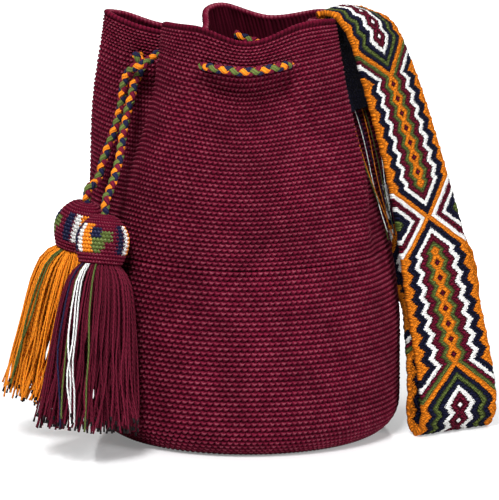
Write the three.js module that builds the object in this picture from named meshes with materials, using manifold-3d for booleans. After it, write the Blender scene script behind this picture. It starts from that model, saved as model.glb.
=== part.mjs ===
// A crocheted bucket bag with a gathered mouth, a braided drawstring that ends in two tassels,
// and a wide woven shoulder strap that hangs down on the right and crosses behind the bag.
// Millimetres, +Z up. The origin is the middle of the base, on the floor, and the front faces -Y.
import * as THREE from "three";
import { mergeVertices } from "three/addons/utils/BufferGeometryUtils.js";
import Module from "manifold-3d";

const wasm = await Module();
wasm.setup();

// Bag body
const BELLY_RADIUS = 112;
const BASE_RADIUS = 88;
const RIM_HEIGHT = 303;
const WALL = 3.6;
const ROUND_PITCH = 3.8;
const ROUNDS_PER_RIDGE = 2;
const RIDGE_DEPTH = 0.7;
const RIM_BEAD = 1.2;
const GATHER_START = 0.2;
const GATHER_POWER = 1.5;
const PLEAT_SHIFT = 12;
const PLEAT_SPAN = 0.09;
const EAR_FULLNESS = 9;
const EAR_SPAN = 0.09;
const COLUMN_SPACING = 20.5;
const INNER_RINGS = 8;

// Drawstring
const CORD_RADIUS = 3.3;
const CORD_SIDES = 8;
const DRAWSTRING_DROP = 21;
const EYELET_CLEARANCE = 0.4;
const EYELET_RUN = 17;
const CORD_REST_GAP = 0.5;
const KNOT_RADIUS = 5.4;
const RUN_STEPS = 68;
const TAIL_STEPS = 17;

// Shoulder strap
const STRAP_WIDTH = 66;
const STRAP_THICKNESS = 4;
const STRAP_SEWN_LENGTH = 58;
const STRAP_FOLD_RADIUS = 9;
const LEFT_FOLD_RISE = 8;
const STRAP_SECTIONS = 59;
const STRAP_LANES = 5;
const SEAM_GAP = 1.5;
const FLOOR_GAP = 0.2;
const YARN_TAIL_RADIUS = 1.3;
const YARN_TAIL_LENGTH = 96;
const YARN_TAIL_COUNT = 3;

// Tassels
const CAP_RADIUS = 19;
const CAP_HEIGHT = 36;
const CAP_WALL = 3.4;
const CAP_SIDES = 16;
const BINDING_THICKNESS = 2.4;
const BINDING_HEIGHT = 4.5;
const NECK_RADIUS = 9;
const SKIRTS = {
  burgundy: { length: 116, hemRadius: 37 },
  orange: { length: 112, hemRadius: 31 },
};
const SKIRT_FLUTES = 12;
const FLUTE_DEPTH = 1.3;
const TASSEL_GAP = 4;
const BURGUNDY_HEAD_TURN = 217.8;
const BURGUNDY_HEM_TURN = 221.4;
const FIT_GAP = 0.3;

const CORNER_RADIUS = BELLY_RADIUS - BASE_RADIUS;

// The gathered rim from above, round from the front left valley through the front: x, y and lift.
const RIM_POINTS = [
  [-46, -18, -10], // valley behind the front left fold
  [-61, -50, 2], // front left fold
  [-38, -71, -3],
  [-1, -78, -10], // middle of the front
  [37, -63, -3],
  [63, -36, 2], // front right fold
  [48, -18, 1], // side panel that carries the strap
  [67, 38, 0.5],
  [54, 58, 0],
  [17, 63, -5], // middle of the back
  [-18, 61, 4.5],
  [-31, 50, 2], // back left fold
  [-34, 25, -11], // back valley
  [-64, 24, -6],
  [-90, 18, 3],
  [-102, 6, 5], // left ear
  [-79, -10, -4],
];
const FRONT_MIDDLE = 3;
const LEFT_EAR = 15;
const LEFT_PLEAT = 16.5;
const STRAP_PANEL_RIGHT = 6.5;
const STRAP_PANEL_LEFT = 13;
const RIGHT_SEAM_TOP = 0.965;
const LEFT_SEAM_TOP = 0.82;
const LEFT_FOLD_SLANT = 25;

// Where the drawstring changes sides, as places along RIM_POINTS. It starts and ends outside.
const EYELETS = [0.45, 2.3, 3.76, 8.1, 9.1, 10, 11.5, 16.22];

const rimCurve = new THREE.CatmullRomCurve3(
  RIM_POINTS.map(([x, y, lift]) => new THREE.Vector3(x, y, RIM_HEIGHT + lift)),
  true,
);
rimCurve.arcLengthDivisions = 1200;
const rimLengths = rimCurve.getLengths();
const rimLength = rimLengths.at(-1);

// Share of the rim's length at a place along RIM_POINTS. A place past the last one counts on round the rim.
function rimShare(place) {
  const turns = Math.floor(place / RIM_POINTS.length);
  const step = (place / RIM_POINTS.length - turns) * rimCurve.arcLengthDivisions;
  const low = Math.floor(step);
  return turns + THREE.MathUtils.lerp(rimLengths[low], rimLengths[low + 1], step - low) / rimLength;
}

// How far a place lies from another round the rim, as a share of it from -0.5 to 0.5.
function roundGap(share, place) {
  const gap = share - rimShare(place);
  return gap - Math.round(gap);
}

// Direction of the belly below a share of the rim. The fabric spreads to both sides of the left pleat.
function bellyTurn(share) {
  const pleat = roundGap(share, LEFT_PLEAT) / PLEAT_SPAN;
  const spread = -PLEAT_SHIFT * pleat * Math.exp((1 - pleat * pleat) / 2);
  return THREE.MathUtils.degToRad(-90 + 360 * (share - rimShare(FRONT_MIDDLE)) + spread);
}

// The outer face of the fabric: share runs round the rim, and height from the base corner to the rim.
function fabric(share, height) {
  const rim = rimCurve.getPointAt(share - Math.floor(share));
  const turn = bellyTurn(share);
  const rise = THREE.MathUtils.clamp((height - GATHER_START) / (1 - GATHER_START), 0, 1);
  const gather = rise ** GATHER_POWER;
  const ear = roundGap(share, LEFT_EAR) / EAR_SPAN;
  const radius = BELLY_RADIUS + EAR_FULLNESS * Math.sin(Math.PI * height) ** 2 * Math.exp(-ear * ear);
  return new THREE.Vector3(
    THREE.MathUtils.lerp(radius * Math.cos(turn), rim.x, gather),
    THREE.MathUtils.lerp(radius * Math.sin(turn), rim.y, gather),
    THREE.MathUtils.lerp(CORNER_RADIUS, RIM_HEIGHT, height) + height * height * (rim.z - RIM_HEIGHT),
  );
}

// A point that stands off the outer face of the fabric, outwards where standOff is positive.
function offFabric(share, height, standOff) {
  const step = 1e-3;
  const along = fabric(share + step, height).sub(fabric(share - step, height));
  const up = fabric(share, height + step).sub(fabric(share, height - step));
  const normal = along.cross(up).normalize();
  return fabric(share, height).addScaledVector(normal, standOff);
}

// The share of the rim that spans a length of fabric at that place.
function shareOfLength(share, height, length) {
  const step = 1e-3;
  return (length * 2 * step) / fabric(share + step, height).distanceTo(fabric(share - step, height));
}

const wallHeight = RIM_HEIGHT - CORNER_RADIUS;

function polar(degrees, radius, height) {
  const turn = THREE.MathUtils.degToRad(degrees);
  return new THREE.Vector3(radius * Math.cos(turn), radius * Math.sin(turn), height);
}

// A closed solid through rings of equal length, with flat ends.
function loft(rings) {
  const count = rings[0].length;
  const position = rings.flat().flatMap((p) => [p.x, p.y, p.z]);
  const index = [];
  for (let r = 0; r + 1 < rings.length; r++) {
    for (let i = 0; i < count; i++) {
      const a = r * count + i;
      const b = r * count + ((i + 1) % count);
      index.push(a, b, b + count, a, b + count, a + count);
    }
  }
  const last = (rings.length - 1) * count;
  const closeEnds = (a, b, c) => {
    index.push(a, c, b);
    index.push(last + a, last + b, last + c);
  };
  for (let low = 0, high = count - 1; low + 1 < high; low++, high--) {
    closeEnds(low, low + 1, high);
    if (low + 1 < high - 1) closeEnds(low + 1, high - 1, high);
  }
  const geometry = new THREE.BufferGeometry();
  geometry.setAttribute("position", new THREE.Float32BufferAttribute(position, 3));
  geometry.setIndex(index);
  return geometry;
}

// A round bar along a curve.
function bar(curve, radius, sides, steps) {
  const section = new THREE.Shape();
  section.setFromPoints(
    Array.from({ length: sides }, (_, i) => {
      const turn = (2 * Math.PI * i) / sides;
      return new THREE.Vector2(radius * Math.cos(turn), radius * Math.sin(turn));
    }),
  );
  return new THREE.ExtrudeGeometry(section, { steps, extrudePath: curve, bevelEnabled: false });
}

function toSolid(geometry) {
  const plain = new THREE.BufferGeometry();
  plain.setAttribute("position", geometry.getAttribute("position"));
  plain.setIndex(geometry.index);
  const merged = mergeVertices(plain);
  return new wasm.Manifold(
    new wasm.Mesh({
      numProp: 3,
      vertProperties: merged.attributes.position.array,
      triVerts: new Uint32Array(merged.index.array),
    }),
  );
}

function toGeometry(solid) {
  const mesh = solid.getMesh();
  const geometry = new THREE.BufferGeometry();
  geometry.setAttribute("position", new THREE.Float32BufferAttribute(mesh.vertProperties, 3));
  geometry.setIndex(new THREE.Uint32BufferAttribute(mesh.triVerts, 1));
  return geometry;
}

const yarn = {
  burgundy: new THREE.MeshStandardMaterial({ color: 0x7a1a3c, roughness: 0.85, metalness: 0 }),
  orange: new THREE.MeshStandardMaterial({ color: 0xe8871e, roughness: 0.85, metalness: 0 }),
  navy: new THREE.MeshStandardMaterial({ color: 0x1b1f45, roughness: 0.85, metalness: 0 }),
  braid: new THREE.MeshStandardMaterial({ color: 0xc98a2b, roughness: 0.85, metalness: 0 }),
  woven: new THREE.MeshStandardMaterial({ color: 0xd98226, roughness: 0.85, metalness: 0 }),
};

function piece(name, geometry, material) {
  const mesh = new THREE.Mesh(geometry, material);
  mesh.name = name;
  return mesh;
}

// Columns of the body's mesh: one at every fold and valley, and more along the longer stretches.
function bodyColumns() {
  const shares = [];
  RIM_POINTS.forEach((_, i) => {
    const from = rimShare(i);
    const to = rimShare(i + 1);
    const count = Math.max(1, Math.round(((to - from) * rimLength) / COLUMN_SPACING));
    for (let k = 0; k < count; k++) shares.push(THREE.MathUtils.lerp(from, to, k / count));
  });
  return shares;
}

// The crocheted body: base and wall are one fabric, with a ridge for every pair of rounds.
function bagBody() {
  const shares = bodyColumns();
  const turned = (radius, height) =>
    shares.map((share) => {
      const turn = bellyTurn(share);
      return new THREE.Vector3(radius * Math.cos(turn), radius * Math.sin(turn), height);
    });
  const wallRing = (height, standOff) => shares.map((share) => offFabric(share, height, standOff));
  const corner = (degrees, inset) => {
    const turn = THREE.MathUtils.degToRad(degrees);
    const radius = CORNER_RADIUS - inset;
    return turned(BASE_RADIUS + radius * Math.sin(turn), CORNER_RADIUS - radius * Math.cos(turn));
  };

  const rings = [corner(0, 0), corner(34, 0), corner(66, 0)];
  const ridges = Math.round(wallHeight / (ROUND_PITCH * ROUNDS_PER_RIDGE));
  for (let k = 0; k < ridges; k++) {
    rings.push(wallRing(k / ridges, -RIDGE_DEPTH));
    rings.push(wallRing((k + 0.5) / ridges, RIDGE_DEPTH));
  }
  rings.push(wallRing(1, 0));
  const bead = wallRing(1, -WALL / 2);
  bead.forEach((p) => (p.z += RIM_BEAD));
  rings.push(bead, wallRing(1, -WALL));
  for (let k = INNER_RINGS - 1; k >= 0; k--) rings.push(wallRing(k / INNER_RINGS, -WALL));
  rings.push(corner(45, WALL), corner(0, WALL));
  return toSolid(loft(rings));
}

const drawstringHeight = 1 - DRAWSTRING_DROP / wallHeight;
const outsideOff = RIDGE_DEPTH + CORD_RADIUS + CORD_REST_GAP;
const insideOff = -(WALL + CORD_RADIUS + CORD_REST_GAP);

// The threaded run of the drawstring, in through the first eyelet and out through the last one.
function drawstringRun() {
  const points = [];
  const holes = EYELETS.map(rimShare);
  const sideAfter = (k) => (k % 2 === 0 ? insideOff : outsideOff);
  const aside = (hole, length) => hole + shareOfLength(hole, drawstringHeight, length);
  points.push(offFabric(holes[0], drawstringHeight, outsideOff));
  holes.forEach((hole, k) => {
    if (k > 0) points.push(offFabric(aside(hole, -EYELET_RUN / 2), drawstringHeight, sideAfter(k - 1)));
    points.push(offFabric(hole, drawstringHeight, -WALL / 2));
    if (k + 1 === holes.length) return;
    const from = aside(hole, EYELET_RUN / 2);
    const to = aside(holes[k + 1], -EYELET_RUN / 2);
    points.push(offFabric(from, drawstringHeight, sideAfter(k)));
    const between = Math.floor(((to - from) * rimLength) / (2 * EYELET_RUN));
    for (let i = 1; i <= between; i++) {
      const share = THREE.MathUtils.lerp(from, to, i / (between + 1));
      points.push(offFabric(share, drawstringHeight, sideAfter(k)));
    }
  });
  points.push(offFabric(holes.at(-1), drawstringHeight, outsideOff));
  return new THREE.CatmullRomCurve3(points);
}

// A tassel hangs as a group of its own: the group's +Z runs up the cord and its origin is the cap's middle.
// Cap and hem lean on the belly, and the cap's height follows from the tassel's length.
function tasselPlace(skirt, { headTurn, headOff, hemTurn, hemOff, hemHeight }) {
  const hem = polar(hemTurn, hemReach(skirt) + hemOff, hemHeight);
  const head = polar(headTurn, headReach + headOff, hemHeight);
  const length = skirt.length + CAP_HEIGHT / 2;
  head.z += Math.sqrt(length ** 2 - head.distanceTo(hem) ** 2);
  return { head, up: head.clone().sub(hem).normalize() };
}

// Degrees round the bag that part two pieces of a radius that hang side by side.
function sideBySide(radius, reach) {
  return 2 * THREE.MathUtils.radToDeg(Math.asin((radius + TASSEL_GAP / 2) / reach));
}

const headReach = BELLY_RADIUS + CAP_RADIUS;

function hemReach(skirt) {
  return BELLY_RADIUS + skirt.hemRadius + FLUTE_DEPTH;
}

const meanHem = (SKIRTS.burgundy.hemRadius + SKIRTS.orange.hemRadius) / 2 + FLUTE_DEPTH;
const TASSELS = {
  burgundy: tasselPlace(SKIRTS.burgundy, {
    headTurn: BURGUNDY_HEAD_TURN,
    headOff: -1.4,
    hemTurn: BURGUNDY_HEM_TURN,
    hemOff: 3.8,
    hemHeight: 22.5,
  }),
  orange: tasselPlace(SKIRTS.orange, {
    headTurn: BURGUNDY_HEAD_TURN - sideBySide(CAP_RADIUS, headReach),
    headOff: -4.5,
    hemTurn: BURGUNDY_HEM_TURN - sideBySide(meanHem, BELLY_RADIUS + meanHem),
    hemOff: 6.2,
    hemHeight: 31,
  }),
};

const capTop = CAP_HEIGHT * 0.5;
const capBottom = -CAP_HEIGHT * 0.5;
const knotMiddle = capTop - CAP_WALL - KNOT_RADIUS - FIT_GAP;
const knobTop = knotMiddle - KNOT_RADIUS - FIT_GAP;
const cordHole = CORD_RADIUS + FIT_GAP;

// Half section of the crocheted cap: radius and height, from the cord's hole down to the open bottom.
const CAP_OUTLINE = [
  [0.45, 0.9],
  [0.74, 0.62],
  [0.96, 0.22],
  [1, -0.16],
  [0.93, -0.56],
  [0.78, -1],
];

function tasselCap() {
  const half = CAP_HEIGHT / 2;
  const outer = CAP_OUTLINE.map(([r, z]) => new THREE.Vector2(r * CAP_RADIUS, z * half));
  const inner = CAP_OUTLINE.map(
    ([r, z]) => new THREE.Vector2(r * CAP_RADIUS - CAP_WALL, Math.min(z * half, capTop - CAP_WALL)),
  );
  inner[0].x = Math.max(inner[0].x, cordHole);
  const profile = [
    new THREE.Vector2(cordHole, capTop - CAP_WALL),
    ...inner.slice(1),
    ...outer.reverse(),
    new THREE.Vector2(cordHole, capTop),
  ];
  profile.push(profile[0].clone());
  return new THREE.LatheGeometry(profile, CAP_SIDES).rotateX(Math.PI / 2);
}

// Yarn wound round the neck of the bundle, hidden in the cap.
const bindingTop = capBottom + 2 * BINDING_HEIGHT;

function tasselBinding() {
  const inside = NECK_RADIUS + FIT_GAP;
  const outside = inside + BINDING_THICKNESS;
  const bottom = bindingTop - BINDING_HEIGHT;
  const profile = [
    new THREE.Vector2(inside, bottom),
    new THREE.Vector2(outside, bottom + BINDING_HEIGHT * 0.2),
    new THREE.Vector2(outside, bindingTop - BINDING_HEIGHT * 0.2),
    new THREE.Vector2(inside, bindingTop),
    new THREE.Vector2(inside, bottom),
  ];
  return new THREE.LatheGeometry(profile, CAP_SIDES).rotateX(Math.PI / 2);
}

// The folded bundle of yarn: a knob and a bound neck inside the cap, and the fluted skirt below it.
function tasselSkirt({ length, hemRadius }) {
  const mouth = CAP_OUTLINE.at(-1)[0] * CAP_RADIUS - CAP_WALL - FIT_GAP;
  const below = (share) => capBottom - share * length;
  const flare = (share) => THREE.MathUtils.lerp(mouth + CAP_WALL, hemRadius, share);
  const outline = [
    [NECK_RADIUS * 0.45, knobTop, 0],
    [NECK_RADIUS * 1.25, (knobTop + bindingTop) / 2, 0],
    [NECK_RADIUS, bindingTop, 0],
    [NECK_RADIUS, bindingTop - BINDING_HEIGHT, 0],
    [mouth, capBottom - FIT_GAP, 0],
    [flare(0.2), below(0.05), 0.5],
    [flare(0.42), below(0.16), 0.8],
    [flare(0.7), below(0.5), 1],
    [flare(0.88), below(0.8), 1],
    [flare(1), below(1), 1],
  ];
  const count = SKIRT_FLUTES * 2;
  const rings = outline.map(([radius, height, fluted]) =>
    Array.from({ length: count }, (_, i) => {
      const turn = (2 * Math.PI * i) / count;
      const proud = (i % 2 === 0 ? 1 : -1) * fluted * FLUTE_DEPTH;
      return new THREE.Vector3(
        (radius + proud) * Math.cos(turn),
        (radius + proud) * Math.sin(turn),
        height + proud * fluted,
      );
    }),
  );
  return loft(rings.reverse());
}

function tassel(colour) {
  const { head, up } = TASSELS[colour];
  const group = new THREE.Group();
  group.position.copy(head);
  group.quaternion.setFromUnitVectors(new THREE.Vector3(0, 0, 1), up);
  group.add(
    piece(`${colour}_tassel_cap`, tasselCap(), yarn.burgundy),
    piece(`${colour}_tassel_binding`, tasselBinding(), yarn.navy),
    piece(`${colour}_tassel_skirt`, tasselSkirt(SKIRTS[colour]), yarn[colour]),
  );
  return group;
}

// Routes of the two hanging cord ends, from the eyelet to the tassel's cap.
const TAIL_ROUTES = {
  orange: [
    [-70, -30, 276],
    [-73, -34, 274],
    [-77, -35, 272],
    [-81, -33, 271],
    [-85, -30, 267],
    [-88, -28, 261],
    [-89, -27, 255],
    [-90, -26, 247],
    [-91, -25, 240],
    [-92, -25, 237],
    [-94, -26, 229],
    [-97, -27, 221],
    [-99, -28, 215],
    [-102, -30, 208],
    [-105, -33, 198],
    [-108, -37, 189],
  ],
  burgundy: [
    [-76, -21, 274],
    [-76, -22, 269],
    [-78, -24, 264],
    [-81, -28, 259],
    [-82, -32, 254],
    [-83, -36, 249],
    [-85, -37, 243],
    [-86, -38, 236],
    [-88, -41, 229],
    [-89, -44, 222],
    [-90, -48, 215],
    [-91, -53, 208],
    [-93, -58, 201],
    [-95, -63, 194],
    [-98, -69, 186],
  ],
};

// A hanging end carries on from the threaded run, and its stopper knot sits under the top of the cap.
function drawstringTail(colour, run, end) {
  const { head, up } = TASSELS[colour];
  const along = (height) => head.clone().addScaledVector(up, height);
  const outwards = run.getTangent(end).multiplyScalar(end === 0 ? -1 : 1);
  const leaving = (length) => run.getPoint(end).addScaledVector(outwards, length);
  const points = [
    leaving(FIT_GAP),
    leaving(FIT_GAP + CORD_RADIUS),
    ...TAIL_ROUTES[colour].map((p) => new THREE.Vector3(...p)),
    along(capTop + 3 * CORD_RADIUS),
    along(capTop),
    along(knotMiddle),
  ];
  const knot = new THREE.SphereGeometry(KNOT_RADIUS, CORD_SIDES, CORD_SIDES / 2 + 1);
  knot.translate(...along(knotMiddle).toArray());
  const tail = toSolid(bar(new THREE.CatmullRomCurve3(points), CORD_RADIUS, CORD_SIDES, TAIL_STEPS));
  return toGeometry(tail.add(toSolid(knot)));
}

// Lanes of points across the strap: at a seam they follow the fabric, and elsewhere they lie straight.
const seamOff = RIDGE_DEPTH + SEAM_GAP + STRAP_THICKNESS / 2;
const strapLanes = Array.from(
  { length: STRAP_LANES },
  (_, i) => (i / (STRAP_LANES - 1) - 0.5) * STRAP_WIDTH,
);

const sewnShare = STRAP_SEWN_LENGTH / wallHeight;

// A row of lanes laid on the fabric round a place on it, shifted and slanted within the fabric.
function laidStation(panel, height, lift, slant, shift = 0, drop = 0) {
  const share = rimShare(panel);
  const turn = THREE.MathUtils.degToRad(slant);
  return strapLanes.map((lane) => {
    const along = shareOfLength(share, height, lane * Math.cos(turn) + shift);
    return offFabric(share + along, height + (lane * Math.sin(turn) - drop) / wallHeight, seamOff + lift);
  });
}

function laneMiddle(station) {
  return station[0].clone().add(station.at(-1)).multiplyScalar(0.5);
}

// Free stretches of the strap: distance off the belly, turn round the bag, height, and where the face looks.
const HANGING = [
  { off: -44, turn: 10, height: RIM_HEIGHT + 8.5, facing: [-0.26, 0.08, 0.95] },
  { off: -36, turn: 4, height: RIM_HEIGHT + 9, facing: [0.31, -0.18, 0.93] },
  { off: -23, turn: 1, height: RIM_HEIGHT - 2, facing: [0.73, -0.52, 0.44] },
  { off: -9, turn: 0, height: 0.865 * RIM_HEIGHT, facing: [0.78, -0.62, 0.2] },
  { off: 13.5, turn: -1.4, height: 0.585 * RIM_HEIGHT, facing: [0.71, -0.7, 0.15] },
  { off: 31, turn: -3.2, height: 0.32 * RIM_HEIGHT, facing: [0.6, -0.8, 0.1] },
  { off: 42, turn: -5.2, height: 26, facing: [0.545, -0.84, 0] },
];
const RETURNING = [
  { off: 32, turn: 4.5, height: 60, facing: [-0.5, 0.83, -0.2] },
  { off: 32.5, turn: 23, height: 106, facing: [0.15, 0.95, -0.2] },
  { off: 23, turn: 46, height: 147, facing: [0.4, 0.92, -0.05] },
];
const ACROSS_BACK = [
  { place: 9.3, height: 0.56, lift: 3 },
  { place: 10.3, height: 0.66, lift: 6 },
];

function strapStations() {
  const rightSeam = [sewnShare, sewnShare / 2, 0].map((drop) =>
    laidStation(STRAP_PANEL_RIGHT, RIGHT_SEAM_TOP - drop, 0, 0),
  );
  rightSeam.push(laidStation(STRAP_PANEL_RIGHT, 1, 2 * RIM_BEAD, 0));

  const doubled = 2 * STRAP_FOLD_RADIUS;
  const foldHeight = LEFT_SEAM_TOP + (STRAP_FOLD_RADIUS + LEFT_FOLD_RISE) / wallHeight;
  const leaving = THREE.MathUtils.degToRad(2 * LEFT_FOLD_SLANT);
  const outerLeg = (length) =>
    laidStation(
      STRAP_PANEL_LEFT, foldHeight, doubled, 180 - 2 * LEFT_FOLD_SLANT,
      -length * Math.sin(leaving), length * Math.cos(leaving),
    );
  const leftSeam = [
    outerLeg(50),
    outerLeg(22),
    laidStation(STRAP_PANEL_LEFT, foldHeight, STRAP_FOLD_RADIUS, 180 - LEFT_FOLD_SLANT),
    ...[0, sewnShare / 2, sewnShare].map((drop) =>
      laidStation(STRAP_PANEL_LEFT, LEFT_SEAM_TOP - drop, 0, 180),
    ),
  ];

  const place = ({ off, turn, height, facing }) => ({
    middle: polar(turn, BELLY_RADIUS + off, height),
    facing: new THREE.Vector3(...facing).normalize(),
  });
  const hanging = HANGING.map(place);
  const foot = hanging.at(-1);
  const folded = (back, height, facing) => ({
    middle: foot.middle.clone().addScaledVector(foot.facing, -back * STRAP_FOLD_RADIUS).setZ(height),
    facing,
  });
  const under = STRAP_THICKNESS / 2 + FLOOR_GAP;
  const behind = foot.facing.clone().negate();
  const onFloor = [
    folded(0.1, under + STRAP_FOLD_RADIUS, foot.facing),
    folded(1, under, new THREE.Vector3(0, 0, -1)),
    folded(1.9, under + STRAP_FOLD_RADIUS, behind),
    folded(2, foot.middle.z, behind),
  ];
  const acrossBack = ACROSS_BACK.map(({ place: at, height, lift }) => {
    const middle = offFabric(rimShare(at), height, seamOff + lift);
    return { middle, facing: middle.clone().sub(fabric(rimShare(at), height)).normalize() };
  });
  const free = [...hanging, ...onFloor, ...RETURNING.map(place), ...acrossBack];
  const middles = [laneMiddle(rightSeam.at(-1)), ...free.map((s) => s.middle), laneMiddle(leftSeam[0])];
  const freeStations = free.map(({ middle, facing }, i) => {
    const travel = middles[i + 2].clone().sub(middles[i]).normalize();
    const across = facing.clone().cross(travel).normalize();
    return strapLanes.map((lane) => middle.clone().addScaledVector(across, lane));
  });
  return [...rightSeam, ...freeStations, ...leftSeam];
}

// The woven band, and the yarn tails that hang from both of its sewn ends.
function shoulderStrap() {
  const stations = strapStations();
  const laneCurves = strapLanes.map((_, i) => new THREE.CatmullRomCurve3(stations.map((s) => s[i])));
  const sections = Array.from({ length: STRAP_SECTIONS + 1 }, (_, k) =>
    laneCurves.map((curve) => curve.getPoint(k / STRAP_SECTIONS)),
  );
  const rings = sections.map((lanes, k) => {
    const before = sections[Math.max(k - 1, 0)];
    const after = sections[Math.min(k + 1, STRAP_SECTIONS)];
    const face = lanes.map((point, i) => {
      const travel = after[i].clone().sub(before[i]);
      const across = lanes[Math.min(i + 1, STRAP_LANES - 1)].clone().sub(lanes[Math.max(i - 1, 0)]);
      return travel.cross(across).normalize();
    });
    const shifted = (side) =>
      lanes.map((point, i) => point.clone().addScaledVector(face[i], (side * STRAP_THICKNESS) / 2));
    return [...shifted(1).reverse(), ...shifted(-1)];
  });
  return loft(rings);
}

function yarnTails(panel, endHeight) {
  const share = rimShare(panel);
  const hold = YARN_TAIL_RADIUS * 4;
  return Array.from({ length: YARN_TAIL_COUNT }, (_, i) => {
    const lane = ((i + 0.5) / YARN_TAIL_COUNT - 0.5) * (STRAP_WIDTH - hold);
    const points = [-hold, ...[1 / 3, 2 / 3, 1].map((part) => part * YARN_TAIL_LENGTH)].map((drop) => {
      const height = endHeight - drop / wallHeight;
      return offFabric(share + shareOfLength(share, endHeight, lane), height, seamOff);
    });
    return toSolid(bar(new THREE.CatmullRomCurve3(points), YARN_TAIL_RADIUS, 5, 6));
  });
}

const group = new THREE.Group();
const run = drawstringRun();
const eyelets = toSolid(bar(run, CORD_RADIUS + EYELET_CLEARANCE, CORD_SIDES, RUN_STEPS));
const tails = [
  ...yarnTails(STRAP_PANEL_RIGHT, RIGHT_SEAM_TOP - sewnShare),
  ...yarnTails(STRAP_PANEL_LEFT, LEFT_SEAM_TOP - sewnShare),
];
const strap = tails.reduce((solid, tail) => solid.add(tail), toSolid(shoulderStrap()));
group.add(
  piece("bag_body", toGeometry(bagBody().subtract(eyelets)), yarn.burgundy),
  piece("drawstring", bar(run, CORD_RADIUS, CORD_SIDES, RUN_STEPS), yarn.braid),
  tassel("burgundy"),
  tassel("orange"),
  piece("burgundy_cord_end", drawstringTail("burgundy", run, 1), yarn.braid),
  piece("orange_cord_end", drawstringTail("orange", run, 0), yarn.braid),
  piece("shoulder_strap", toGeometry(strap), yarn.woven),
);

export default group;
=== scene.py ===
"""Looks of a crocheted bucket bag: stitched body, braided drawstring, two tassels and a woven strap."""
import math

import bpy
import numpy as np
from bpy.props import FloatProperty, FloatVectorProperty, IntProperty, PointerProperty
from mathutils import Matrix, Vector


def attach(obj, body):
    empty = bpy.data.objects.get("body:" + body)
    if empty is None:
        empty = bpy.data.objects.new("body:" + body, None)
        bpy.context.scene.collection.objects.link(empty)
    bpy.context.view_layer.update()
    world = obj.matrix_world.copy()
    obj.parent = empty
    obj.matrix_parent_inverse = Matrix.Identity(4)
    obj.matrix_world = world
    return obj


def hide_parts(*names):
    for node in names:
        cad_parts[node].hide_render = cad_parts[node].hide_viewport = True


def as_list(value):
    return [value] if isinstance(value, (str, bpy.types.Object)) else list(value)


bl_info = {
    "name": "Crocheted bucket bag",
    "version": (1, 0, 0),
    "blender": (4, 5, 0),
    "location": "View3D > Sidebar > Bag",
    "description": "Builds a crocheted bucket bag with a braided drawstring, two tassels and a woven strap",
    "category": "Object",
}

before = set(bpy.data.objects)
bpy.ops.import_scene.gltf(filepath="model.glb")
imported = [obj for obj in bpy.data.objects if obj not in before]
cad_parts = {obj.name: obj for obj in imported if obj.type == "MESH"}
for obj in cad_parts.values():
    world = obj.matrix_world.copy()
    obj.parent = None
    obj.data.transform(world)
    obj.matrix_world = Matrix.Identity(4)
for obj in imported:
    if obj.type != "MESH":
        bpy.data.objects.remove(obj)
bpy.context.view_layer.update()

# Sizes below are in millimetres, as in the part's source, and become metres when a mesh is made.
MM = 0.001
YARNS = ("burgundy", "orange", "navy", "white", "green")

# Body. Places along the rim count the points below, and heights run from 0 at the base corner to 1 at the rim.
BELLY_RADIUS = 112
BASE_RADIUS = 88
CORNER_RADIUS = BELLY_RADIUS - BASE_RADIUS
RIM_HEIGHT = 303
WALL_HEIGHT = RIM_HEIGHT - CORNER_RADIUS
WALL = 3.6
RIM_BEAD = 1.2
GATHER_START = 0.2
GATHER_POWER = 1.5
PLEAT_SHIFT = 12
PLEAT_SPAN = 0.09
EAR_FULLNESS = 9
EAR_SPAN = 0.09
RIM_POINTS = np.array([
    (-46, -18, -10), (-61, -50, 2), (-38, -71, -3), (-1, -78, -10), (37, -63, -3), (63, -36, 2),
    (48, -18, 1), (67, 38, 0.5), (54, 58, 0), (17, 63, -5), (-18, 61, 4.5), (-31, 50, 2),
    (-34, 25, -11), (-64, 24, -6), (-90, 18, 3), (-102, 6, 5), (-79, -10, -4),
], float)
FRONT_MIDDLE = 3
LEFT_EAR = 15
LEFT_PLEAT = 16.5
# soft swellings of the fabric: place along the rim, span there, height, span of height, and movement along X
SWELLINGS = (
    (15, 1.5, 0.78, 0.17, -5.6), (7.1, 0.5, 0.69, 0.12, 11), (1, 0.6, 0.77, 0.2, 6.5), (5, 0.5, 0.6, 0.15, 6),
    (6, 0.5, 0.6, 0.17, -6),
)
# how far the rim stands up beyond the drawstring: place along the rim, span there, and rise
RIM_RISES = ((2.15, 0.65, 5.2), (4.1, 0.7, 5.2))

# Drawstring
CORD_RADIUS = 3.3
DRAWSTRING_DROP = 21
DRAWSTRING_HEIGHT = 1 - DRAWSTRING_DROP / WALL_HEIGHT
EYELET_RUN = 17
CORD_REST_GAP = 0.5
RIDGE_DEPTH = 0.7
FIT_GAP = 0.3
# places of its gaps along the rim
EYELETS = (0.45, 2.3, 3.76, 8.1, 9.1, 10, 11.5, 16.22)
# length of each end below its knot, bound into the tassel's neck
CORD_BOUND_LENGTH = 28
TAIL_ROUTES = {
    "orange": [
        (-70, -30, 276), (-73, -34, 274), (-77, -35, 272), (-81, -33, 271), (-85, -30, 267), (-88, -28, 261),
        (-89, -27, 255), (-90, -26, 247), (-91, -25, 240), (-92, -25, 237), (-94, -26, 229), (-97, -27, 221),
        (-99, -28, 215), (-102, -30, 208), (-105, -33, 198), (-108, -37, 189),
    ],
    "burgundy": [
        (-76, -21, 274), (-76, -22, 269), (-78, -24, 264), (-81, -28, 259), (-82, -32, 254), (-83, -36, 249),
        (-85, -37, 243), (-86, -38, 236), (-88, -41, 229), (-89, -44, 222), (-90, -48, 215), (-91, -53, 208),
        (-93, -58, 201), (-95, -63, 194), (-98, -69, 186),
    ],
}

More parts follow.
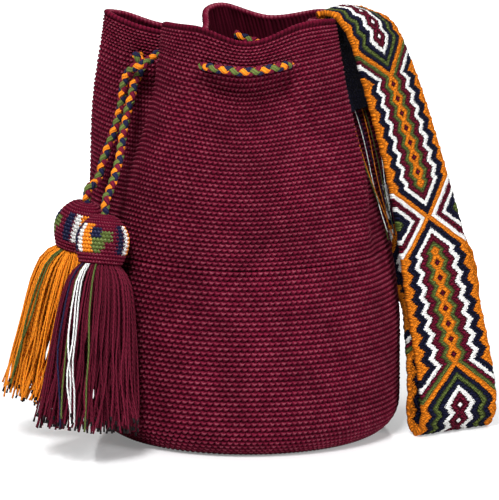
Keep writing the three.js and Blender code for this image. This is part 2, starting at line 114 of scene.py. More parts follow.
# Tassels
CAP_RADIUS = 19
CAP_HEIGHT = 36
CAP_WALL = 3.4
KNOT_RADIUS = 5.4
NECK_RADIUS = 9
SKIRTS = {"burgundy": (116, 37), "orange": (112, 31)}
FLUTE_DEPTH = 1.3
TASSEL_GAP = 4
BURGUNDY_HEAD_TURN = 217.8
BURGUNDY_HEM_TURN = 222.4
# how far a tassel's head and hem stand off the body, and the height of its hem
BURGUNDY_SEAT = (-1.4, 3.8, 22.5)
ORANGE_SEAT = (-4.5, 6.2, 31)
CAP_OUTLINE = np.array([(0.45, 0.9), (0.74, 0.62), (0.96, 0.22), (1, -0.16), (0.93, -0.56), (0.78, -1)])

# Strap
STRAP_WIDTH = 66
STRAP_THICKNESS = 4
STRAP_SEWN_LENGTH = 58
STRAP_FOLD_RADIUS = 9
LEFT_FOLD_RISE = 8
SEAM_GAP = 1.5
FLOOR_GAP = 0.2
YARN_TAIL_LENGTH = 96
STRAP_PANEL_RIGHT = 6.5
STRAP_PANEL_LEFT = 13
RIGHT_SEAM_TOP = 0.965
LEFT_SEAM_TOP = 0.82
LEFT_FOLD_SLANT = 25
# lengths from the left fold along the leg that leaves it
LEFT_LEG = (50, 22)
HANGING = [
    (-44, 10, RIM_HEIGHT + 6, (-0.26, 0.08, 0.95)), (-36, 4, RIM_HEIGHT + 6, (0.31, -0.18, 0.93)),
    (-23, 1, RIM_HEIGHT - 2, (0.73, -0.52, 0.44)), (-9, 0, 0.865 * RIM_HEIGHT, (0.81, -0.58, 0.2)),
    (15, -1.4, 0.585 * RIM_HEIGHT, (0.75, -0.655, 0.15)), (32, -5, 0.32 * RIM_HEIGHT, (0.6, -0.8, 0.1)),
    (45, -9, 26, (0.545, -0.84, 0)),
]
# how far the strap's far edge sinks at its first hanging stations
ARCH_DROOP = (5, 6, 10, 2)
RETURNING = [
    (33, 4.5, 60, (-0.5, 0.83, -0.2)), (40, 23, 106, (0.15, 0.95, -0.2)), (30, 46, 147, (0.4, 0.92, -0.05)),
]
ACROSS_BACK = [(9.3, 0.56, 3), (10.3, 0.66, 6)]


# Curves and the form of the fabric

def unit(v):
    return v / np.maximum(np.linalg.norm(v, axis=-1, keepdims=True), 1e-12)


def smooth_curve(points, t, closed=False):
    """Points at t from 0 to 1 on the centripetal curve through points."""
    points = np.asarray(points, float)
    count = len(points)
    segments = count if closed else count - 1
    place = np.asarray(t, float) * segments
    low = np.minimum(np.floor(place).astype(int), segments - 1)
    if closed:
        around = points[np.arange(-1, count + 2) % count]
    else:
        around = np.vstack([2 * points[0] - points[1], points, 2 * points[-1] - points[-2]])
    p0, p1, p2, p3 = (around[low + k] for k in range(4))
    w = (place - low)[..., None]

    def step(a, b):
        return np.maximum(((b - a) ** 2).sum(-1, keepdims=True), 1e-9) ** 0.25

    d0, d1, d2 = step(p0, p1), step(p1, p2), step(p2, p3)
    m1 = ((p1 - p0) / d0 - (p2 - p0) / (d0 + d1) + (p2 - p1) / d1) * d1
    m2 = ((p2 - p1) / d1 - (p3 - p1) / (d1 + d2) + (p3 - p2) / d2) * d1
    return p1 + w * (m1 + w * (3 * (p2 - p1) - 2 * m1 - m2 + w * (2 * (p1 - p2) + m1 + m2)))


def run_lengths(points):
    return np.concatenate([[0], np.cumsum(np.linalg.norm(np.diff(points, axis=0), axis=1))])


RIM_SAMPLES = 1201
RIM_T = np.linspace(0, 1, RIM_SAMPLES)
RIM_LINE = RIM_POINTS + (0, 0, RIM_HEIGHT)
RIM_RUN = run_lengths(smooth_curve(RIM_LINE, RIM_T, closed=True))


def rim_share(place):
    """Share of the rim's length at a place along RIM_POINTS."""
    return np.interp(place / len(RIM_POINTS), RIM_T, RIM_RUN) / RIM_RUN[-1]


def round_gap(share, place):
    gap = share - rim_share(place)
    return gap - np.round(gap)


def belly_turn(share):
    pleat = round_gap(share, LEFT_PLEAT) / PLEAT_SPAN
    spread = -PLEAT_SHIFT * pleat * np.exp((1 - pleat ** 2) / 2)
    return np.radians(-90 + 360 * (share - rim_share(FRONT_MIDDLE)) + spread)


def fabric(share, height):
    """The outer face of the body: share runs round the rim, height from the base corner to the rim."""
    share, height = np.broadcast_arrays(np.asarray(share, float), np.asarray(height, float))
    t = np.interp((share - np.floor(share)) * RIM_RUN[-1], RIM_RUN, RIM_T)
    rim = smooth_curve(RIM_LINE, t, closed=True)
    turn = belly_turn(share)
    gather = np.clip((height - GATHER_START) / (1 - GATHER_START), 0, 1) ** GATHER_POWER
    ear = np.exp(-(round_gap(share, LEFT_EAR) / EAR_SPAN) ** 2)
    radius = BELLY_RADIUS + EAR_FULLNESS * np.sin(np.pi * np.clip(height, 0, 1)) ** 2 * ear
    x = radius * np.cos(turn) * (1 - gather) + rim[..., 0] * gather
    y = radius * np.sin(turn) * (1 - gather) + rim[..., 1] * gather
    z = CORNER_RADIUS + WALL_HEIGHT * height + height ** 2 * (rim[..., 2] - RIM_HEIGHT)
    place = t * len(RIM_POINTS)
    for at, span, level, level_span, movement in SWELLINGS:
        x = x + movement * np.exp(-((place - at) / span) ** 2 - ((height - level) / level_span) ** 2)
    above = np.clip((height - DRAWSTRING_HEIGHT) / (1 - DRAWSTRING_HEIGHT), 0, 1)
    for at, span, rise in RIM_RISES:
        z = z + rise * above * np.exp(-((place - at) / span) ** 2)
    return np.stack([x, y, z], -1)


FABRIC_STEP = 1e-3


def fabric_along(share, height):
    return fabric(share + FABRIC_STEP, height) - fabric(share - FABRIC_STEP, height)


def fabric_normal(share, height):
    up = fabric(share, height + FABRIC_STEP) - fabric(share, height - FABRIC_STEP)
    return unit(np.cross(fabric_along(share, height), up))


def off_fabric(share, height, stand_off):
    share, height, stand_off = np.broadcast_arrays(*(np.asarray(v, float) for v in (share, height, stand_off)))
    return fabric(share, height) + fabric_normal(share, height) * stand_off[..., None]


def share_of_length(share, height, length):
    return length * 2 * FABRIC_STEP / np.linalg.norm(fabric_along(share, height), axis=-1)


def around(turn, radius, height):
    return np.stack(np.broadcast_arrays(radius * np.cos(turn), radius * np.sin(turn), height), -1)


def polar(degrees, radius, height):
    return around(math.radians(degrees), radius, height)


# Routes of the drawstring and places of the tassels

def side_by_side(radius, reach):
    return 2 * math.degrees(math.asin((radius + TASSEL_GAP / 2) / reach))


def tassel_place(skirt, head_turn, hem_turn, seat):
    """Middle of the cap and the direction up the cord."""
    length, hem_radius = skirt
    head_off, hem_off, hem_height = seat
    hem = polar(hem_turn, BELLY_RADIUS + hem_radius + FLUTE_DEPTH + hem_off, hem_height)
    head = polar(head_turn, BELLY_RADIUS + CAP_RADIUS + head_off, hem_height)
    head[2] += math.sqrt((length + CAP_HEIGHT / 2) ** 2 - np.sum((head - hem) ** 2))
    return head, unit(head - hem)


MEAN_HEM = (SKIRTS["burgundy"][1] + SKIRTS["orange"][1]) / 2 + FLUTE_DEPTH
TASSELS = {
    "burgundy": tassel_place(SKIRTS["burgundy"], BURGUNDY_HEAD_TURN, BURGUNDY_HEM_TURN, BURGUNDY_SEAT),
    "orange": tassel_place(
        SKIRTS["orange"], BURGUNDY_HEAD_TURN - side_by_side(CAP_RADIUS, BELLY_RADIUS + CAP_RADIUS),
        BURGUNDY_HEM_TURN - side_by_side(MEAN_HEM, BELLY_RADIUS + MEAN_HEM), ORANGE_SEAT),
}
CAP_TOP = CAP_HEIGHT / 2
CAP_BOTTOM = -CAP_HEIGHT / 2
KNOT_MIDDLE = CAP_TOP - CAP_WALL - KNOT_RADIUS - FIT_GAP
OUTSIDE_OFF = RIDGE_DEPTH + CORD_RADIUS + CORD_REST_GAP
INSIDE_OFF = -(WALL + CORD_RADIUS + CORD_REST_GAP)


# share of the run from its end over which its direction is taken
END_STEP = 1e-3
LINE_SAMPLES = 4000


def drawstring_points():
    holes = [rim_share(place) for place in EYELETS]

    def aside(hole, length):
        return hole + share_of_length(hole, DRAWSTRING_HEIGHT, length)

    def at(share, off):
        return off_fabric(share, DRAWSTRING_HEIGHT, off)

    def side_after(k):
        return INSIDE_OFF if k % 2 == 0 else OUTSIDE_OFF

    points = [at(holes[0], OUTSIDE_OFF)]
    for k, hole in enumerate(holes):
        if k > 0:
            points.append(at(aside(hole, -EYELET_RUN / 2), side_after(k - 1)))
        points.append(at(hole, -WALL / 2))
        if k + 1 == len(holes):
            break
        start, end = aside(hole, EYELET_RUN / 2), aside(holes[k + 1], -EYELET_RUN / 2)
        points.append(at(start, side_after(k)))
        between = int((end - start) * RIM_RUN[-1] / (2 * EYELET_RUN))
        for i in range(1, between + 1):
            points.append(at(start + (end - start) * i / (between + 1), side_after(k)))
    points.append(at(holes[-1], OUTSIDE_OFF))
    return np.array(points)


def tail_points(colour, run):
    """A hanging end, from where the threaded run leaves the fabric to its knot in the tassel's cap."""
    head, up = TASSELS[colour]
    end = run[0] if colour == "orange" else run[-1]
    near = smooth_curve(run, [0, END_STEP] if colour == "orange" else [1, 1 - END_STEP])
    outwards = unit(near[0] - near[1])
    return np.array([
        end + outwards * FIT_GAP, end + outwards * (FIT_GAP + CORD_RADIUS), *TAIL_ROUTES[colour],
        head + up * (CAP_TOP + 3 * CORD_RADIUS), head + up * CAP_TOP, head + up * KNOT_MIDDLE,
        head + up * (KNOT_MIDDLE - CORD_BOUND_LENGTH / 2), head + up * (KNOT_MIDDLE - CORD_BOUND_LENGTH),
    ])


def even_steps(line, count):
    """A line in a number of even steps."""
    run = run_lengths(line)
    at = np.linspace(0, run[-1], count)
    return np.stack([np.interp(at, run, line[:, k]) for k in range(line.shape[1])], -1)


def even_line(points, spacing):
    """The smooth curve through points, in even steps."""
    line = smooth_curve(points, np.linspace(0, 1, LINE_SAMPLES))
    return even_steps(line, max(2, int(round(run_lengths(line)[-1] / spacing)) + 1))


# The strap's sheet

SEAM_OFF = RIDGE_DEPTH + SEAM_GAP + STRAP_THICKNESS / 2
LANES = np.linspace(-0.5, 0.5, 5) * STRAP_WIDTH
SEWN_SHARE = STRAP_SEWN_LENGTH / WALL_HEIGHT


def laid_station(panel, height, lift, slant, shift=0.0, drop=0.0):
    share = rim_share(panel)
    turn = math.radians(slant)
    along = share_of_length(share, height, LANES * math.cos(turn) + shift)
    return off_fabric(share + along, height + (LANES * math.sin(turn) - drop) / WALL_HEIGHT, SEAM_OFF + lift)


def strap_stations():
    right = [laid_station(STRAP_PANEL_RIGHT, RIGHT_SEAM_TOP - d, 0, 0) for d in (SEWN_SHARE, SEWN_SHARE / 2, 0)]
    right.append(laid_station(STRAP_PANEL_RIGHT, 1, 2 * RIM_BEAD, 0))
    fold_height = LEFT_SEAM_TOP + (STRAP_FOLD_RADIUS + LEFT_FOLD_RISE) / WALL_HEIGHT
    leaving = math.radians(2 * LEFT_FOLD_SLANT)

    def outer_leg(length):
        return laid_station(STRAP_PANEL_LEFT, fold_height, 2 * STRAP_FOLD_RADIUS, 180 - 2 * LEFT_FOLD_SLANT,
                            -length * math.sin(leaving), length * math.cos(leaving))

    left = [outer_leg(length) for length in LEFT_LEG]
    left.append(laid_station(STRAP_PANEL_LEFT, fold_height, STRAP_FOLD_RADIUS, 180 - LEFT_FOLD_SLANT))
    left += [laid_station(STRAP_PANEL_LEFT, LEFT_SEAM_TOP - d, 0, 180) for d in (0, SEWN_SHARE / 2, SEWN_SHARE)]

    def place(off, turn, height, facing):
        return polar(turn, BELLY_RADIUS + off, height), unit(np.array(facing, float))

    hanging = [place(*row) for row in HANGING]
    foot, front = hanging[-1]
    under = STRAP_THICKNESS / 2 + FLOOR_GAP

    def folded(back, height, facing):
        """A station of the fold on the floor, so many fold radii behind the foot."""
        middle = foot - front * back * STRAP_FOLD_RADIUS
        middle[2] = height
        return middle, np.array(facing, float)

    on_floor = [folded(0.1, under + STRAP_FOLD_RADIUS, front), folded(1, under, (0, 0, -1)),
                folded(1.9, under + STRAP_FOLD_RADIUS, -front), folded(2, foot[2], -front)]
    across = []
    for at, height, lift in ACROSS_BACK:
        middle = off_fabric(rim_share(at), height, SEAM_OFF + lift)
        across.append((middle, unit(middle - fabric(rim_share(at), height))))
    free = hanging + on_floor + [place(*row) for row in RETURNING] + across
    middles = [(right[-1][0] + right[-1][-1]) / 2] + [m for m, _ in free] + [(left[0][0] + left[0][-1]) / 2]
    stations = list(right)
    for i, (middle, facing) in enumerate(free):
        travel = unit(middles[i + 2] - middles[i])
        across_way = unit(np.cross(facing, travel))
        droop = ARCH_DROOP[i] if i < len(ARCH_DROOP) else 0
        sunk = droop * np.maximum(LANES / LANES[-1], 0)
        stations.append(middle + LANES[:, None] * across_way - sunk[:, None] * (0, 0, 1))
    return np.array(stations + left)


# The strap's pattern, in knots across and rows along

BURGUNDY, ORANGE, NAVY, WHITE, GREEN = range(5)
# knots by which a colour ramp starts before its first band, and all that it spans
RAMP_START = 2
RAMP_SPAN = 26
RAMP_END = RAMP_SPAN - RAMP_START
# usual width of one rope
ROPE_WIDTH = 2.1
# height of the zigzag's wave in knots, and half its length in rows
ZIG_KNOTS = 1.0
ZIG_ROWS = 3
# rows from a crossing to an arrow's tip, and between two arrows' tips
A_ROWS = 57
B_ROWS = 69
# in both stretches, the rows to the start of the zigzag and its phase
A_START = 13.6
B_START = 14.25
A_WAVE = 3
B_WAVE = 2.25
# knots along a rope in each row, the unevenness of their places as waves over knots and rows, and how far their
# backs reach over a band's edge
KNOT_RATE = 0.85
KNOT_WAVES = ((0.3, 2.1, 0.9), (0.25, 3.7, -0.6))
KNOT_TEETH = 0.6
# outer edge of each band and its yarn
A_INNER = ((2.1, ORANGE), (4.1, GREEN), (7.1, BURGUNDY), (9.2, WHITE), (12.6, NAVY), (RAMP_END, ORANGE))
A_OUTER = ((3.7, WHITE), (7.0, BURGUNDY), (8.9, WHITE), (12.6, NAVY), (RAMP_END, GREEN))
B_INNER = ((2.9, BURGUNDY), (5.1, WHITE), (8.0, NAVY), (10.2, GREEN), (12.6, NAVY), (RAMP_END, ORANGE))
B_OUTER = ((3.2, GREEN), (5.3, BURGUNDY), (7.3, WHITE), (10.5, NAVY), (RAMP_END, ORANGE))
# both stretches: inner and outer bands, knots beyond which the outer ones lie, and reach and yarn of the eyes
STRETCHES = ((A_INNER, A_OUTER, 1.7, 1.4, BURGUNDY), (B_INNER, B_OUTER, 1.1, 1.0, WHITE))
STRAP_TONES = {"burgundy": 0.95, "navy": 0.7, "green": 1.0, "white": 0.95, "orange": 0.93}


# The formulas below serve arrays, for the relief, and values in a shader, for the colours.

def sine(a):
    return a.sine() if isinstance(a, Value) else np.sin(a)


def least(a, b):
    return a.least(b) if isinstance(a, Value) else np.minimum(a, b)


def pingpong(rows, span):
    return rows.pingpong(span) if isinstance(rows, Value) else np.abs((rows + span) % (2 * span) - span)


def zigzag(rows):
    """Wave of the pattern's middle."""
    return (1.0 - pingpong(rows, ZIG_ROWS) / (ZIG_ROWS / 2)) * ZIG_KNOTS


def stretches(rows):
    """Rows past an arrow's tip, and for both stretches the rows from its start, the knots from the strap's middle to
    the middle of its figure, and the rows from the nearest eye."""
    s = pingpong(rows, A_ROWS + B_ROWS / 2)
    past = s - A_ROWS
    ahead = past - B_START
    parts = ((s, A_ROWS - s - A_WAVE, s - A_START), (past, ahead - B_WAVE, ahead))
    return past, [(start, least(zigzag(wave), limit), pingpong(wave, ZIG_ROWS)) for start, wave, limit in parts]


def knot_height(x, rows):
    """Height, from 0 to 1, of the knots x knots from the strap's middle."""
    place = rows * KNOT_RATE
    for size, a, b in KNOT_WAVES:
        place = place + sine(abs(x) * a + rows * b) * size
    return abs(sine(place * math.pi)) ** 2.0


def rope_edges(bands):
    """Edges of the single ropes that make up the bands: a wide band has several."""
    edges = [-RAMP_START]
    for edge, _ in bands:
        count = max(1, round((edge - edges[-1]) / ROPE_WIDTH))
        edges += list(np.linspace(edges[-1], edge, count + 1)[1:])
    return edges


def rope_height(distance, bands):
    edges = np.array(rope_edges(bands))
    at = np.clip(distance, edges[0], edges[-1] - 1e-6)
    low = np.searchsorted(edges, at, side="right") - 1
    return np.sin(np.pi * (at - edges[low]) / (edges[low + 1] - edges[low]))


def strap_relief(x, rows):
    """Height, from 0 to 1, of the ropes x knots from the strap's middle and some rows from a crossing."""
    x = np.abs(x)
    past, parts = stretches(rows)
    first, second = (
        np.where(x - start > reach, rope_height(x - start, outer), rope_height(x - middle, inner))
        for (start, middle, _), (inner, outer, reach, _, _) in zip(parts, STRETCHES))
    return np.where(past < 0, first, second)


# Meshes

# in metres
MERGE_DISTANCE = 2e-6
# a line steeper than this has +X, and not +Z, as its spare direction
STEEP = 0.9


def assign(obj, materials, index=None):
    for material in materials:
        obj.data.materials.append(material)
    if index is not None:
        obj.data.polygons.foreach_set("material_index", np.asarray(index, np.int32))


def finish_piece(obj, slot, *replaced):
    bpy.ops.object.select_all(action="DESELECT")
    obj.select_set(True)
    bpy.context.view_layer.objects.active = obj
    bpy.ops.object.shade_smooth()
    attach(obj, "root")
    if replaced:
        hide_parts(*replaced)
    return obj


def sheet_piece(name, points, uv, materials, face_index=None, cap_ends=False):
    """A grid moved to rows and columns of points. Rows and columns that meet are merged.
    uv(row, column, face_row) gives the yarn coordinates of a corner."""
    rows, columns = points.shape[:2]
    bpy.ops.object.select_all(action="DESELECT")
    bpy.ops.mesh.primitive_grid_add(x_subdivisions=columns - 1, y_subdivisions=rows - 1, size=1)
    obj = bpy.context.object
    obj.name = name
    mesh = obj.data
    mesh.name = name
    if len(mesh.vertices) != rows * columns:
        raise RuntimeError(f"{name}: the grid has {len(mesh.vertices)} points, and {rows * columns} are needed")
    mesh.vertices.foreach_set("co", (points * MM).astype(np.float32).ravel())
    vertex = np.zeros(len(mesh.loops), np.int32)
    mesh.loops.foreach_get("vertex_index", vertex)
    row, column = vertex // columns, vertex % columns
    face_row = np.repeat(row.reshape(-1, 4).min(1), 4)
    face_column = column.reshape(-1, 4).min(1)
    u, v = uv(row, column, face_row)
    layer = mesh.uv_layers[0]
    layer.name = "yarn"
    layer.data.foreach_set("uv", np.stack([u, v], -1).astype(np.float32).ravel())
    assign(obj, materials, None if face_index is None else face_index(face_row[::4], face_column))
    mesh.update()
    bpy.ops.object.mode_set(mode="EDIT")
    bpy.ops.mesh.select_all(action="SELECT")
    bpy.ops.mesh.remove_doubles(threshold=MERGE_DISTANCE)
    if cap_ends:
        bpy.ops.mesh.select_all(action="DESELECT")
        bpy.ops.mesh.select_mode(type="EDGE")
        bpy.ops.mesh.select_non_manifold()
        bpy.ops.mesh.fill_holes(sides=0)
        bpy.ops.mesh.select_mode(type="VERT")
    bpy.ops.object.mode_set(mode="OBJECT")
    return obj


def tube_frames(lines):
    """Two directions across each line at each of its points, without twist."""
    along = unit(np.gradient(lines, axis=1))
    spare = np.where(np.abs(along[:, :1, 2:]) > STEEP, [[[1.0, 0, 0]]], [[[0, 0, 1.0]]])
    normals = np.empty_like(lines)
    normals[:, 0] = unit(np.cross(along[:, 0], spare[:, 0]))
    for i in range(1, lines.shape[1]):
        n = normals[:, i - 1]
        normals[:, i] = unit(n - (n * along[:, i]).sum(-1, keepdims=True) * along[:, i])
    return normals, np.cross(along, normals)


def strand_piece(name, groups, materials):
    """Closed yarns as one mesh. A group is (lines, radius, sides, material of each step, twist length), and for
    flattened strands also the direction out of the cord at each point and the flatness along it.
    lines has a row of points for each yarn, and radius may differ from point to point."""
    vertices, faces, index, uvs = [], [], [], []
    count = 0
    for lines, radius, sides, material, twist, *flattened in groups:
        yarns, points = lines.shape[:2]
        normal, side = tube_frames(lines)
        if flattened:
            outwards, flatness = flattened
            along = unit(np.gradient(lines, axis=1))
            normal = unit(outwards - (outwards * along).sum(-1, keepdims=True) * along)
            side = np.cross(along, normal)
            normal = normal * flatness
        turn = 2 * np.pi * np.arange(sides) / sides
        ring = normal[:, :, None] * np.cos(turn)[:, None] + side[:, :, None] * np.sin(turn)[:, None]
        radius = np.broadcast_to(radius, (yarns, points))
        vertices.append((lines[:, :, None] + ring * radius[:, :, None, None]).reshape(-1, 3))
        ids = count + np.arange(yarns * points * sides).reshape(yarns, points, sides)
        count += ids.size
        after = np.roll(ids, -1, axis=2)
        quads = np.stack([ids[:, :-1], after[:, :-1], after[:, 1:], ids[:, 1:]], -1).reshape(-1, 4)
        faces += [quads, ids[:, 0, ::-1], ids[:, -1]]
        length = np.cumsum(np.linalg.norm(np.diff(lines, axis=1, prepend=lines[:, :1]), axis=2), axis=1) / twist
        u = np.arange(sides) / sides + np.arange(yarns)[:, None, None]
        flat = np.zeros((yarns, points - 1, sides, 4, 2))
        flat[..., 0, 0] = flat[..., 3, 0] = u
        flat[..., 1, 0] = flat[..., 2, 0] = u + 1 / sides
        flat[..., 0, 1] = flat[..., 1, 1] = length[:, :-1, None]
        flat[..., 2, 1] = flat[..., 3, 1] = length[:, 1:, None]
        uvs += [flat.reshape(-1, 2), np.zeros((2 * yarns * sides, 2))]
        steps = np.broadcast_to(np.asarray(material), (yarns, points - 1))
        index += [np.repeat(steps.ravel(), sides), steps[:, 0], steps[:, -1]]
    vertices = np.vstack(vertices)
    corners = np.concatenate([part.ravel() for part in faces])
    totals = np.concatenate([np.full(len(part), part.shape[1]) for part in faces])
    mesh = bpy.data.meshes.new(name)
    mesh.vertices.add(len(vertices))
    mesh.vertices.foreach_set("co", (vertices * MM).astype(np.float32).ravel())
    mesh.loops.add(len(corners))
    mesh.loops.foreach_set("vertex_index", corners.astype(np.int32))
    mesh.polygons.add(len(totals))
    mesh.polygons.foreach_set("loop_start", (np.cumsum(totals) - totals).astype(np.int32))
    mesh.polygons.foreach_set("loop_total", totals.astype(np.int32))
    mesh.update(calc_edges=True)
    mesh.uv_layers.new(name="yarn").data.foreach_set("uv", np.vstack(uvs).astype(np.float32).ravel())
    obj = bpy.data.objects.new(name, mesh)
    bpy.context.scene.collection.objects.link(obj)
    assign(obj, materials, np.concatenate(index))
    mesh.update()
    return obj


# Materials

YARN_SPECULAR = 0.04
SHEEN_ROUGHNESS = 0.45
COTTON_ROUGHNESS = 0.85
# crochet: place in a round of its crest, sharpness of the slits, how much they ease over the beads, and depth and
# sharpness of the hollow beside a bead. This relief gives the bump and also the painted shade in slits and hollows
STITCH_CREST = 0.68
SLIT_POWER = 1.4
SLIT_EASE = 0.22
BEAD_HOLLOW = 0.3
BEAD_POWER = 3.0
# weights in the tone of crochet of its relief, which is painted shade and highlight, of its fibres and single
# stitches
CROCHET_TONE = (0.72, 0.28, 0.1)
# tones of the painted shade in the slits and at their edges, of the yarn, and of its painted highlights
CROCHET_STOPS = (0.12, 0.45, 0.78, 1.0)
FIBRE_STRETCH = (4.0, 7.0, 1.0)
FINE_DETAIL = 3.0
CROCHET_FUZZ = 0.3
CROCHET_BUMP = 0.0011
# how much brighter the yarn is, and how far it pales, where light catches a stitch
HIGHLIGHT_TONE = 1.4
HIGHLIGHT_LIFT = 0.06
# darker and brighter patches of the fabric
PATCH_SCALE = 45.0
PATCHES = ((0.3, (0.7, 0.7, 0.7, 1)), (0.65, (1.05, 1.05, 1.05, 1)))
# weights in the tone of plied yarn of its ridges, which paint shade into the grooves between the plies, of its
# patches and of the single yarns, and its darkest and palest tone
PLY_TONE = (0.45, 0.3, 0.5)
PLY_DARK = 0.3
PLY_LIGHT = 1.25
PLY_LIFT = 0.004
PLY_PATCH_SCALE = 60.0
PLY_FIBRE_SCALE = 1400.0
PLY_FUZZ = 0.5
PLY_ROUGHNESS = 0.7
PLY_SHEEN = 0.05
# tone and lift of the sheen's colour
PLY_SHEEN_SHADE = (1.1, 0.2)
# the strap: level of a knot at which its band has its width, share of the relief in the knots, and weights in the
# tone of its relief, which paints shade between the ropes and knots, and of its patches
KNOT_LEVEL = 0.6
KNOT_SHARE = 0.95
WOVEN_TONE = (1.3, 0.08)
WOVEN_PATCH_SCALE = 50.0
WOVEN_FIBRE_SCALE = 1200.0
WOVEN_FUZZ = 0.25
WOVEN_BUMP = 0.0009
WOVEN_SHEEN = 0.02
WOVEN_SHEEN_TINT = (0.6, 0.5, 0.4)


class Value:
    """What a node gives. Arithmetic with it adds Math nodes to the same tree."""
    __array_ufunc__ = None

    def __init__(self, nodes, socket):
        self.nodes = nodes
        self.socket = socket

    def __rsub__(self, other):
        return self.nodes.math("SUBTRACT", other, self)

    def clamped(self):
        return self.nodes.math("ADD", self, use_clamp=True)


def arithmetic(operation):
    """A method that adds a Math node for a value and, if the operation takes two, another value or number."""
    return lambda self, other=0.0: self.nodes.math(operation, self, other)


for method, operation in {
    "__add__": "ADD", "__radd__": "ADD", "__sub__": "SUBTRACT", "__mul__": "MULTIPLY", "__rmul__": "MULTIPLY",
    "__truediv__": "DIVIDE", "__pow__": "POWER", "__lt__": "LESS_THAN", "__gt__": "GREATER_THAN",
    "__abs__": "ABSOLUTE", "least": "MINIMUM", "most": "MAXIMUM", "pingpong": "PINGPONG", "sine": "SINE",
    "whole": "FLOOR", "fraction": "FRACT",
}.items():
    setattr(Value, method, arithmetic(operation))


class Nodes:
    """Short ways to add nodes to the tree of a material or a world."""

    def __init__(self, owner):
        owner.use_nodes = True
        self.tree = owner.node_tree

    def feed(self, node, inputs):
        for socket, value in inputs.items():
            if isinstance(value, Value):
                self.tree.links.new(value.socket, node.inputs[socket])
            else:
                node.inputs[socket].default_value = value

    def add(self, kind, inputs, output=0, **settings):
        """Adds a node and gives one of its outputs."""
        node = self.tree.nodes.new(kind)
        for name, value in settings.items():
            setattr(node, name, value)
        self.feed(node, inputs)
        return Value(self, node.outputs[output])

    def math(self, operation, a, b=0.0, **settings):
        return self.add("ShaderNodeMath", {0: a, 1: b}, operation=operation, **settings)

    def mix(self, factor, a, b, blend="MIX"):
        return self.add("ShaderNodeMix", {0: factor, 6: a, 7: b}, 2, data_type="RGBA", blend_type=blend)

    def object_place(self):
        return self.add("ShaderNodeTexCoord", {}, "Object")

    def light_path(self, kind):
        return self.add("ShaderNodeLightPath", {}, kind)

    def noise(self, scale, detail=2.0, vector=None):
        vector = vector or self.object_place()
        return self.add("ShaderNodeTexNoise", {"Vector": vector, "Scale": scale, "Detail": detail})

    def ramp(self, factor, stops, interpolation="LINEAR"):
        """A colour ramp through stops of (place, colour)."""
        value = self.add("ShaderNodeValToRGB", {0: factor})
        band = value.socket.node.color_ramp
        band.interpolation = interpolation
        band.elements.remove(band.elements[1])
        for k, (at, colour) in enumerate(stops):
            element = band.elements.new(at) if k else band.elements[0]
            element.position = at
            element.color = colour
        return value


class Finish(Nodes):
    """A material under construction, with the yarn coordinates u and v of the surface."""

    def __init__(self, name, colour):
        self.material = bpy.data.materials.new(name)
        self.material.diffuse_color = (*colour, 1)
        super().__init__(self.material)
        self.uv = self.add("ShaderNodeUVMap", {}, uv_map="yarn")
        self.u, self.v = (self.add("ShaderNodeSeparateXYZ", {0: self.uv}, axis) for axis in "XY")

    def close(self, colour, height, distance, roughness, sheen, sheen_tint):
        normal = self.add("ShaderNodeBump", {"Height": height, "Distance": distance, "Strength": 1.0})
        self.feed(self.tree.nodes["Principled BSDF"], {
            "Base Color": colour, "Normal": normal, "Roughness": roughness, "Specular IOR Level": YARN_SPECULAR,
            "Sheen Weight": sheen, "Sheen Roughness": SHEEN_ROUGHNESS, "Sheen Tint": (*sheen_tint, 1),
        })
        return self.material


def shade(colour, factor, lift=0.0):
    return tuple(min(1.0, c * factor + lift) for c in colour) + (1.0,)


def crochet(name, colour, slit_shade):
    """Crochet stitches: one leaning bead of yarn in every stitch, with slits between the rounds, painted dark as
    shade, and painted highlights on the crests. The last argument is the share of the colour left in the slits as
    painted shade."""
    f = Finish(name, colour)
    aside = abs(f.u.fraction() * 2.0 - 1.0)
    part = f.v.fraction()
    rise = 1.0 - (part / STITCH_CREST).least((1.0 - part) / (1.0 - STITCH_CREST))
    pit = rise ** SLIT_POWER * (1.0 - SLIT_EASE + aside * SLIT_EASE)
    bead = 1.0 - aside ** BEAD_POWER * BEAD_HOLLOW
    height = ((1.0 - pit) * bead).clamped()
    stretched = f.add("ShaderNodeVectorMath", {0: f.uv, 1: FIBRE_STRETCH}, operation="MULTIPLY")
    fibre = f.noise(1.0, FINE_DETAIL, stretched)
    cell = f.add("ShaderNodeVectorMath", {0: f.uv}, operation="FLOOR")
    stitch = f.add("ShaderNodeTexWhiteNoise", {"Vector": cell}, noise_dimensions="2D")
    relief_weight, fibre_weight, stitch_weight = CROCHET_TONE
    tone = height * relief_weight + (fibre * fibre_weight + stitch * stitch_weight)
    # the ramp paints shade into the slits and hollows and a highlight onto the crests of the beads
    shades = (
        shade(colour, slit_shade), shade(colour, (1 + 2 * slit_shade) / 3), shade(colour, 1.0),
        shade(colour, HIGHLIGHT_TONE, HIGHLIGHT_LIFT),
    )
    base = f.ramp(tone, zip(CROCHET_STOPS, shades))
    varied = f.mix(1.0, base, f.ramp(f.noise(PATCH_SCALE, FINE_DETAIL), PATCHES), blend="MULTIPLY")
    return f.close(varied, height + fibre * CROCHET_FUZZ, CROCHET_BUMP, COTTON_ROUGHNESS, 0.0, colour)


